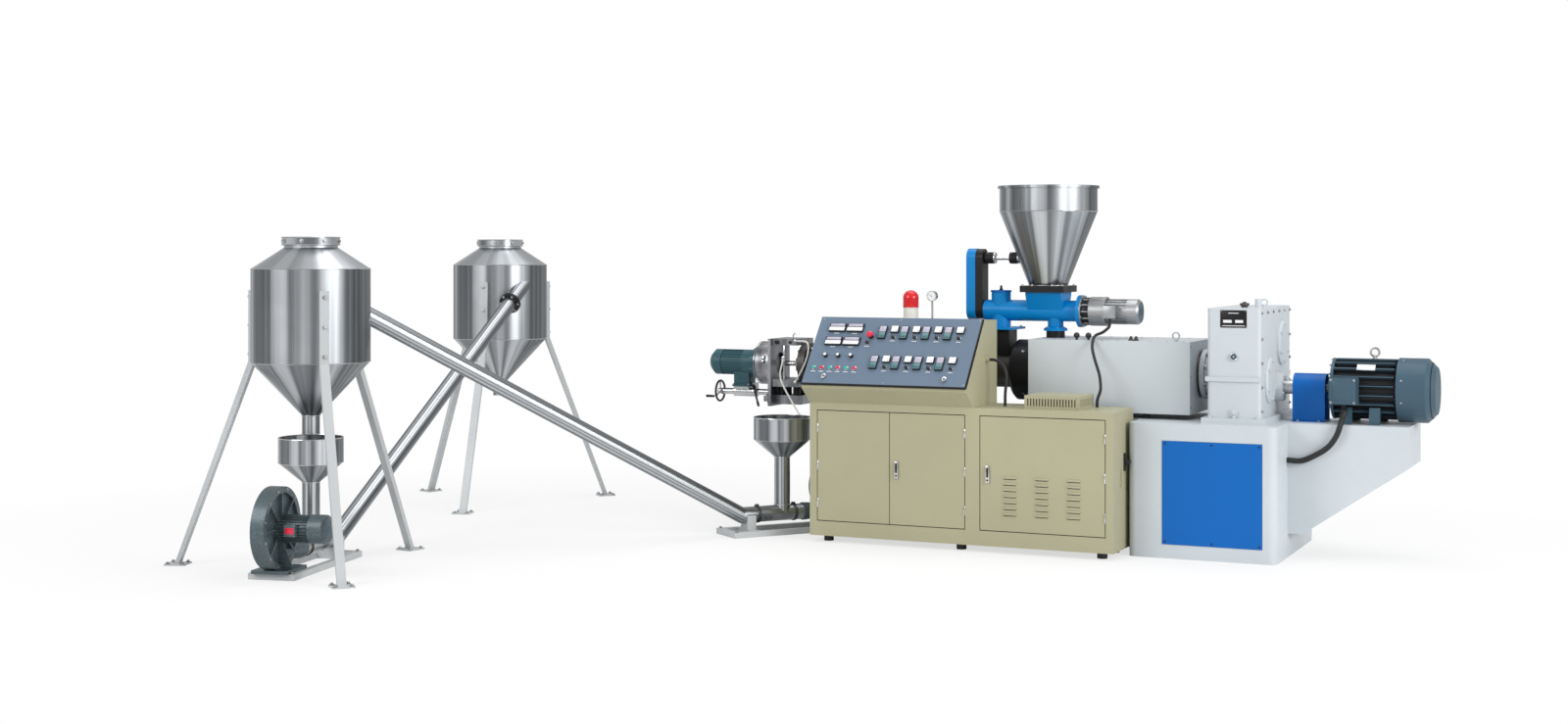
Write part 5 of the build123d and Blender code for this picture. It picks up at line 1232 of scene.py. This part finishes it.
# %% [markdown]
# ## Die-face cutter
# The chamber holds a knife hub, the bolted die face, heater bands with terminals, and two white hoses. The
# hub stays in the chamber when the carriage takes the motor away. The motor stands on a teal pedestal, and
# the handwheel gets a black rim, chrome spokes and a crank.

# %% Knife hub and die bolts
hub, dark_parts, bright_parts = bmesh.new(), bmesh.new(), bmesh.new()
add_drum(hub, facing((-2.942, 0, SCREW_AXIS), RIGHT), 0.016, 0.150, 0.001, 24)
add_drum(hub, facing((-2.812, 0, SCREW_AXIS), RIGHT), 0.046, 0.034, 0.003, 32)
for number in range(4):
    blade = turned(facing((-2.782, 0, SCREW_AXIS), RIGHT), 90 * number + 30)
    add_box(hub, moved(blade, x=0.058), (0.062, 0.024, 0.006), 0.0012)
    add_drum(hub, moved(blade, x=0.036, z=0.004), 0.006, 0.006, 0.001, 6)
piece("knife_hub", hub, "bright_steel", material=chrome)
die_face = facing((-2.760, 0, SCREW_AXIS), LEFT)
for spot in around(die_face, 0.118, 12, 15):
    if spot.translation.z > 0.97:
        add_bolt(dark_parts, spot, 0.017)
add_ring(bright_parts, die_face, 0.078, 0.0035, 40, 8)
for x in (-2.697, -2.664, -2.631):
    add_ring(dark_parts, facing((x, 0, SCREW_AXIS), RIGHT), 0.0955, 0.0055, 40, 8)
    add_box(bright_parts, facing((x, -0.030, 1.138), UP), (0.022, 0.026, 0.016), 0.003)
for x, y in ((-2.905, -0.045), (-2.800, -0.045), (-2.905, 0.045), (-2.800, 0.045)):
    add_drum(dark_parts, facing((x, y, 0.8365), UP), 0.026, 0.060, 0.003, 24)
add_drum(dark_parts, facing((-2.905, -0.130, 1.190), FRONT), 0.013, 0.016, 0.003, 20)
add_drum(dark_parts, facing((-2.810, -0.130, 1.190), FRONT), 0.009, 0.010, 0.002, 20)
piece("chamber_dark_parts", dark_parts, "black_paint")
for y in (-0.132, 0.132):
    for z in (0.79, 0.96, 1.19):
        add_bolt(bright_parts, facing((CHAMBER_LEFT, y, z), LEFT), 0.014)
roof_wire = [(-2.80, 1.211), (-2.80, 1.240), (-2.775, 1.256), (-2.752, 1.240)]
plain_hose(bright_parts, [(x, -0.10, z) for x, z in roof_wire], 0.0042)
piece("chamber_bright_parts", bright_parts, "bright_steel", material=chrome)

# %% Drum latch and seams
latch, latch_base = bmesh.new(), bmesh.new()
for z, radius in ((1.086, 0.011), (1.060, 0.009)):
    rise = z - SCREW_AXIS
    way = Vector((0, -math.sqrt(0.143**2 - rise**2), rise))
    spot = facing(Vector((-3.000, 0, SCREW_AXIS)) + way, way)
    add_box(latch_base, moved(spot, z=-0.004), (0.026, 0.022, 0.008), 0.002)
    add_drum(latch, moved(spot, z=0.003), radius, 0.014, 0.002, 20)
for x in (-3.074, -2.968):
    add_ring(latch, facing((x, 0, SCREW_AXIS), RIGHT), 0.1415, 0.0020, 64, 6)
piece("drum_latch", latch, "bright_steel", material=chrome)
piece("drum_latch_base", latch_base, "button_plastic")

# %% Hoses of the cutter
hoses, fittings = bmesh.new(), bmesh.new()
plain_hose(
    hoses,
    [
        (-2.770, -0.131, 1.200),
        (-2.660, -0.185, 1.190),
        (-2.668, -0.190, 1.080),
        (-2.770, -0.135, 0.930),
    ],
    0.0055,
)
plain_hose(
    hoses,
    [
        (-2.860, -0.132, 1.080),
        (-2.862, -0.170, 0.960),
        (-2.780, -0.190, 0.820),
        (-2.640, -0.240, 0.660),
        (-2.480, -0.360, 0.590),
        (-2.361, -0.470, 0.600),
    ],
    0.0060,
)
for spot in (
    facing((-2.770, -0.130, 1.200), FRONT),
    facing((-2.770, -0.130, 0.930), FRONT),
    facing((-2.360, -0.470, 0.600), LEFT),
):
    add_drum(fittings, spot, 0.0105, 0.012, 0.002, 6)
    add_drum(fittings, moved(spot, z=0.011), 0.0080, 0.010, 0.0015, 18)
add_box(fittings, facing((-2.860, -0.118, 1.080), FRONT), (0.026, 0.034, 0.018), 0.003)
add_box(fittings, facing((-2.860, -0.118, 0.945), UP), (0.012, 0.006, 0.225), 0.0015)
piece("white_hoses", hoses, "white_plastic")
piece("hose_fittings", fittings, "bright_steel", material=chrome)

# %% Motor pedestal, bolts and lever
pedestal, grip = bmesh.new(), bmesh.new()
base = facing((-3.206, 0, 0.884), UP)
add_box(pedestal, base, (0.128, 0.122, 0.013), 0.002)
add_box(pedestal, moved(base, z=0.012), (0.1125, 0.1035, 0.104), 0.002)
for side in (-1, 1):
    add_box(pedestal, moved(base, 0, side * 0.045, 0.095), (0.1180, 0.0155, 0.034), 0.003)
piece("cutter_motor_pedestal", pedestal, "teal_paint", "carriage")
feet_bolts = corners(moved(base, z=0.013), 0.112, 0.112)
feet_bolts += around(facing((-3.113, 0, SCREW_AXIS), LEFT), 0.0945, 8, 22.5)
bolts("cutter_motor_bolts", feet_bolts, 0.0100, "carriage")
lever = facing((-3.131, -0.020, 0.889), (0.48, -0.6, -0.64))
add_drum(grip, moved(lever, z=-0.002), 0.0105, 0.016, 0.002, 20)
add_drum(grip, moved(lever, z=0.012), 0.0068, 0.150, 0.001, 16)
add_drum(grip, moved(lever, z=0.155), 0.0085, 0.038, 0.003, 20)
piece("clamp_lever_grip", grip, "black_plastic", "carriage")

# %% Handwheel
rim, spokes = bmesh.new(), bmesh.new()
wheel = facing((-3.3894, 0, GUIDE_AXIS), LEFT)
add_ring(rim, wheel, 0.0680, 0.0074, 64, 12)
crank = facing((-3.3894, -0.0590, 0.8140), LEFT)
add_drum(rim, moved(crank, z=0.014), 0.0078, 0.062, 0.003, 24, 0.0098)
add_drum(spokes, moved(crank, z=-0.006), 0.0048, 0.022, 0.0008, 16)
add_drum(spokes, moved(wheel, z=-0.0125), 0.0195, 0.025, 0.003, 32)
add_drum(spokes, moved(wheel, z=0.0115), 0.0085, 0.004, 0.001, 6)
for number in range(3):
    ray = turned(wheel, 120 * number - 30)
    add_drum(spokes, turned(moved(ray, x=0.016), 90, "Y"), 0.0055, 0.050, 0.0008, 14, 0.0045)
wheel_piece = piece("handwheel_rim", rim, "black_plastic", "handwheel")
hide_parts("handwheel")
piece("handwheel_spokes", spokes, "bright_steel", "handwheel", material=chrome)

# %% [markdown]
# ## Silos, funnels and conveying pipes
# Every silo has a clamped neck ring, seam beads and bolted legs with anchored foot plates. Bolts on a neck
# or a leg are placed by their direction from the silo's axis, so one loop serves both silos. The pipes
# carry strap clamps, and the flange pair near the far silo is bolted.

# %% Silo rings, seams and leg bolts
rings, silo_bolts, anchors = bmesh.new(), [], []
for silo, first_leg in ((SILO_1, -40), (SILO_2, -76)):
    for z, radius, wire in (
        (1.829, 0.1605, 0.0045),
        (1.869, 0.1605, 0.0045),
        (1.692, 0.3325, 0.0028),
        (1.165, 0.3325, 0.0028),
        (0.858, 0.0510, 0.0030),
        (0.756, 0.0505, 0.0030),
    ):
        add_ring(rings, facing(above(silo, z), UP), radius, wire, 72 if radius > 0.1 else 32, 6)
    for number in range(8):
        way = way_at(45 * number + 20, RIGHT, BACK)
        silo_bolts.append(facing(above(silo, 1.849) + way * 0.1618, way))
    for number in range(3):
        way = way_at(first_leg + 120 * number, RIGHT, BACK)
        for z in (1.535, 1.37, 1.205):
            silo_bolts.append(facing(above(silo, z) + way * 0.3580, way))
        foot = facing(above(silo, 0.008) + way * 0.780, UP, way.cross(Vector(UP)))
        anchors += corners(foot, 0.088, 0.088)
piece("silo_rings_and_seams", rings, "stainless", material=finishes["gauge_metal"])
bolts("silo_bolts", silo_bolts, 0.014)
bolts("foot_plate_anchors", anchors, 0.016)

# %% Funnel rims, pipe straps and the flange bolts
beads, straps = bmesh.new(), bmesh.new()
lines = (
    (Vector(FUNNEL_1), Vector((-0.6115, -0.7912, 0)), 0.290),
    (Vector(SILO_1), Vector((-0.224, 0.9746, 0)), 0.360),
)
for start, way, elbow in lines:
    add_ring(beads, facing(above(start, 0.7325), UP), 0.1805, 0.0032, 64, 8)
    add_ring(beads, facing(above(start, 0.592), UP), 0.1815, 0.0024, 64, 6)
    add_ring(beads, facing(above(start, 0.480), UP), 0.0510, 0.0028, 32, 6)
    add_ring(beads, facing(above(start, 0.178), UP), 0.0510, 0.0040, 32, 6)
    for along in (-0.085, elbow - 0.115):
        spot = facing(above(start + way * along, PIPE_AXIS), way)
        add_ring(straps, spot, 0.0515, 0.0035, 36, 8)
        add_ring(straps, moved(spot, z=0.012), 0.0515, 0.0035, 36, 8)
        ear = facing(spot.translation + Vector((0, 0, 0.051)), UP, way)
        add_box(straps, moved(ear, y=0.006), (0.022, 0.022, 0.012), 0.002)
piece("funnel_beads", beads, "stainless", material=finishes["gauge_metal"])
piece("pipe_straps", straps, "dark_steel")
silo_end = Vector((-4.964, 0.033, 1.560))
down = (Vector(ELBOW_2) - silo_end).normalized()
near, far = silo_end + down * 0.262, silo_end + down * 0.288
bolts(
    "pipe_flange_bolts",
    around(facing(far, down), 0.0625, 6) + around(facing(near, -down), 0.0625, 6),
    0.010,
)

# %% [markdown]
# ## Blowers
# Both blowers are alike: a bolted disc housing and a finned motor with a grille, a lidded box and a bare
# red plate. Each is placed by the direction of its air flow, so one loop builds both.

# %% Fan fittings
FAN_AXIS, BASE_TOP = 0.277, 0.035
fan_bolts, lid_screws, base_bolts = [], [], []
fins, grilles, plates, lids = bmesh.new(), bmesh.new(), bmesh.new(), bmesh.new()
for start, way, _ in lines:
    middle = start - way * 0.440
    side = Vector((-way.y, way.x, 0))
    axis_point = above(middle, FAN_AXIS)
    front_face = facing(axis_point - side * 0.040, -side)
    back_face = facing(axis_point + side * 0.040, side)
    fan_bolts += around(front_face, 0.2115, 12, 15) + around(back_face, 0.2115, 12, 15)
    add_ring(grilles, back_face, 0.150, 0.004, 48, 6)
    add_ring(grilles, back_face, 0.085, 0.003, 40, 6)
    for number in range(28):
        ray = turned(front_face, 360 * number / 28)
        add_box(fins, moved(ray, x=0.0705, z=0.008), (0.013, 0.0030, 0.160), 0.0006)
    motor_end = moved(front_face, z=0.268)
    motor_rings = (0.018, 0.034, 0.050, 0.064)
    add_grille(grilles, motor_end, motor_rings, 0.0013, (0.128, 0.0028, 0.0022), 0.0005)
    lid = facing(axis_point - way * 0.097 - side * 0.128, -way)
    add_box(lids, moved(lid, z=-0.001), (0.066, 0.066, 0.006), 0.002)
    add_box(plates, moved(lid, z=0.0048), (0.050, 0.034, 0.0012), 0.0004)
    lid_screws += corners(moved(lid, z=0.0050), 0.056, 0.056)
    for along in (-0.480, 0.380):
        for across in (-0.115, 0.115):
            base_bolts.append(facing(above(start + way * along + side * across, BASE_TOP), UP))
bolts("fan_rim_bolts", fan_bolts, 0.010)
piece("fan_motor_fins", fins, "fan_paint")
piece("fan_grilles", grilles, "fan_paint", material=finishes["slate_paint"])
piece("fan_box_lids", lids, "fan_paint")
piece("fan_bare_red_plates", plates, "red_plastic", material=red)
screws("fan_box_screws", lid_screws, 0.0028)
bolts("base_frame_bolts", base_bolts, 0.015)
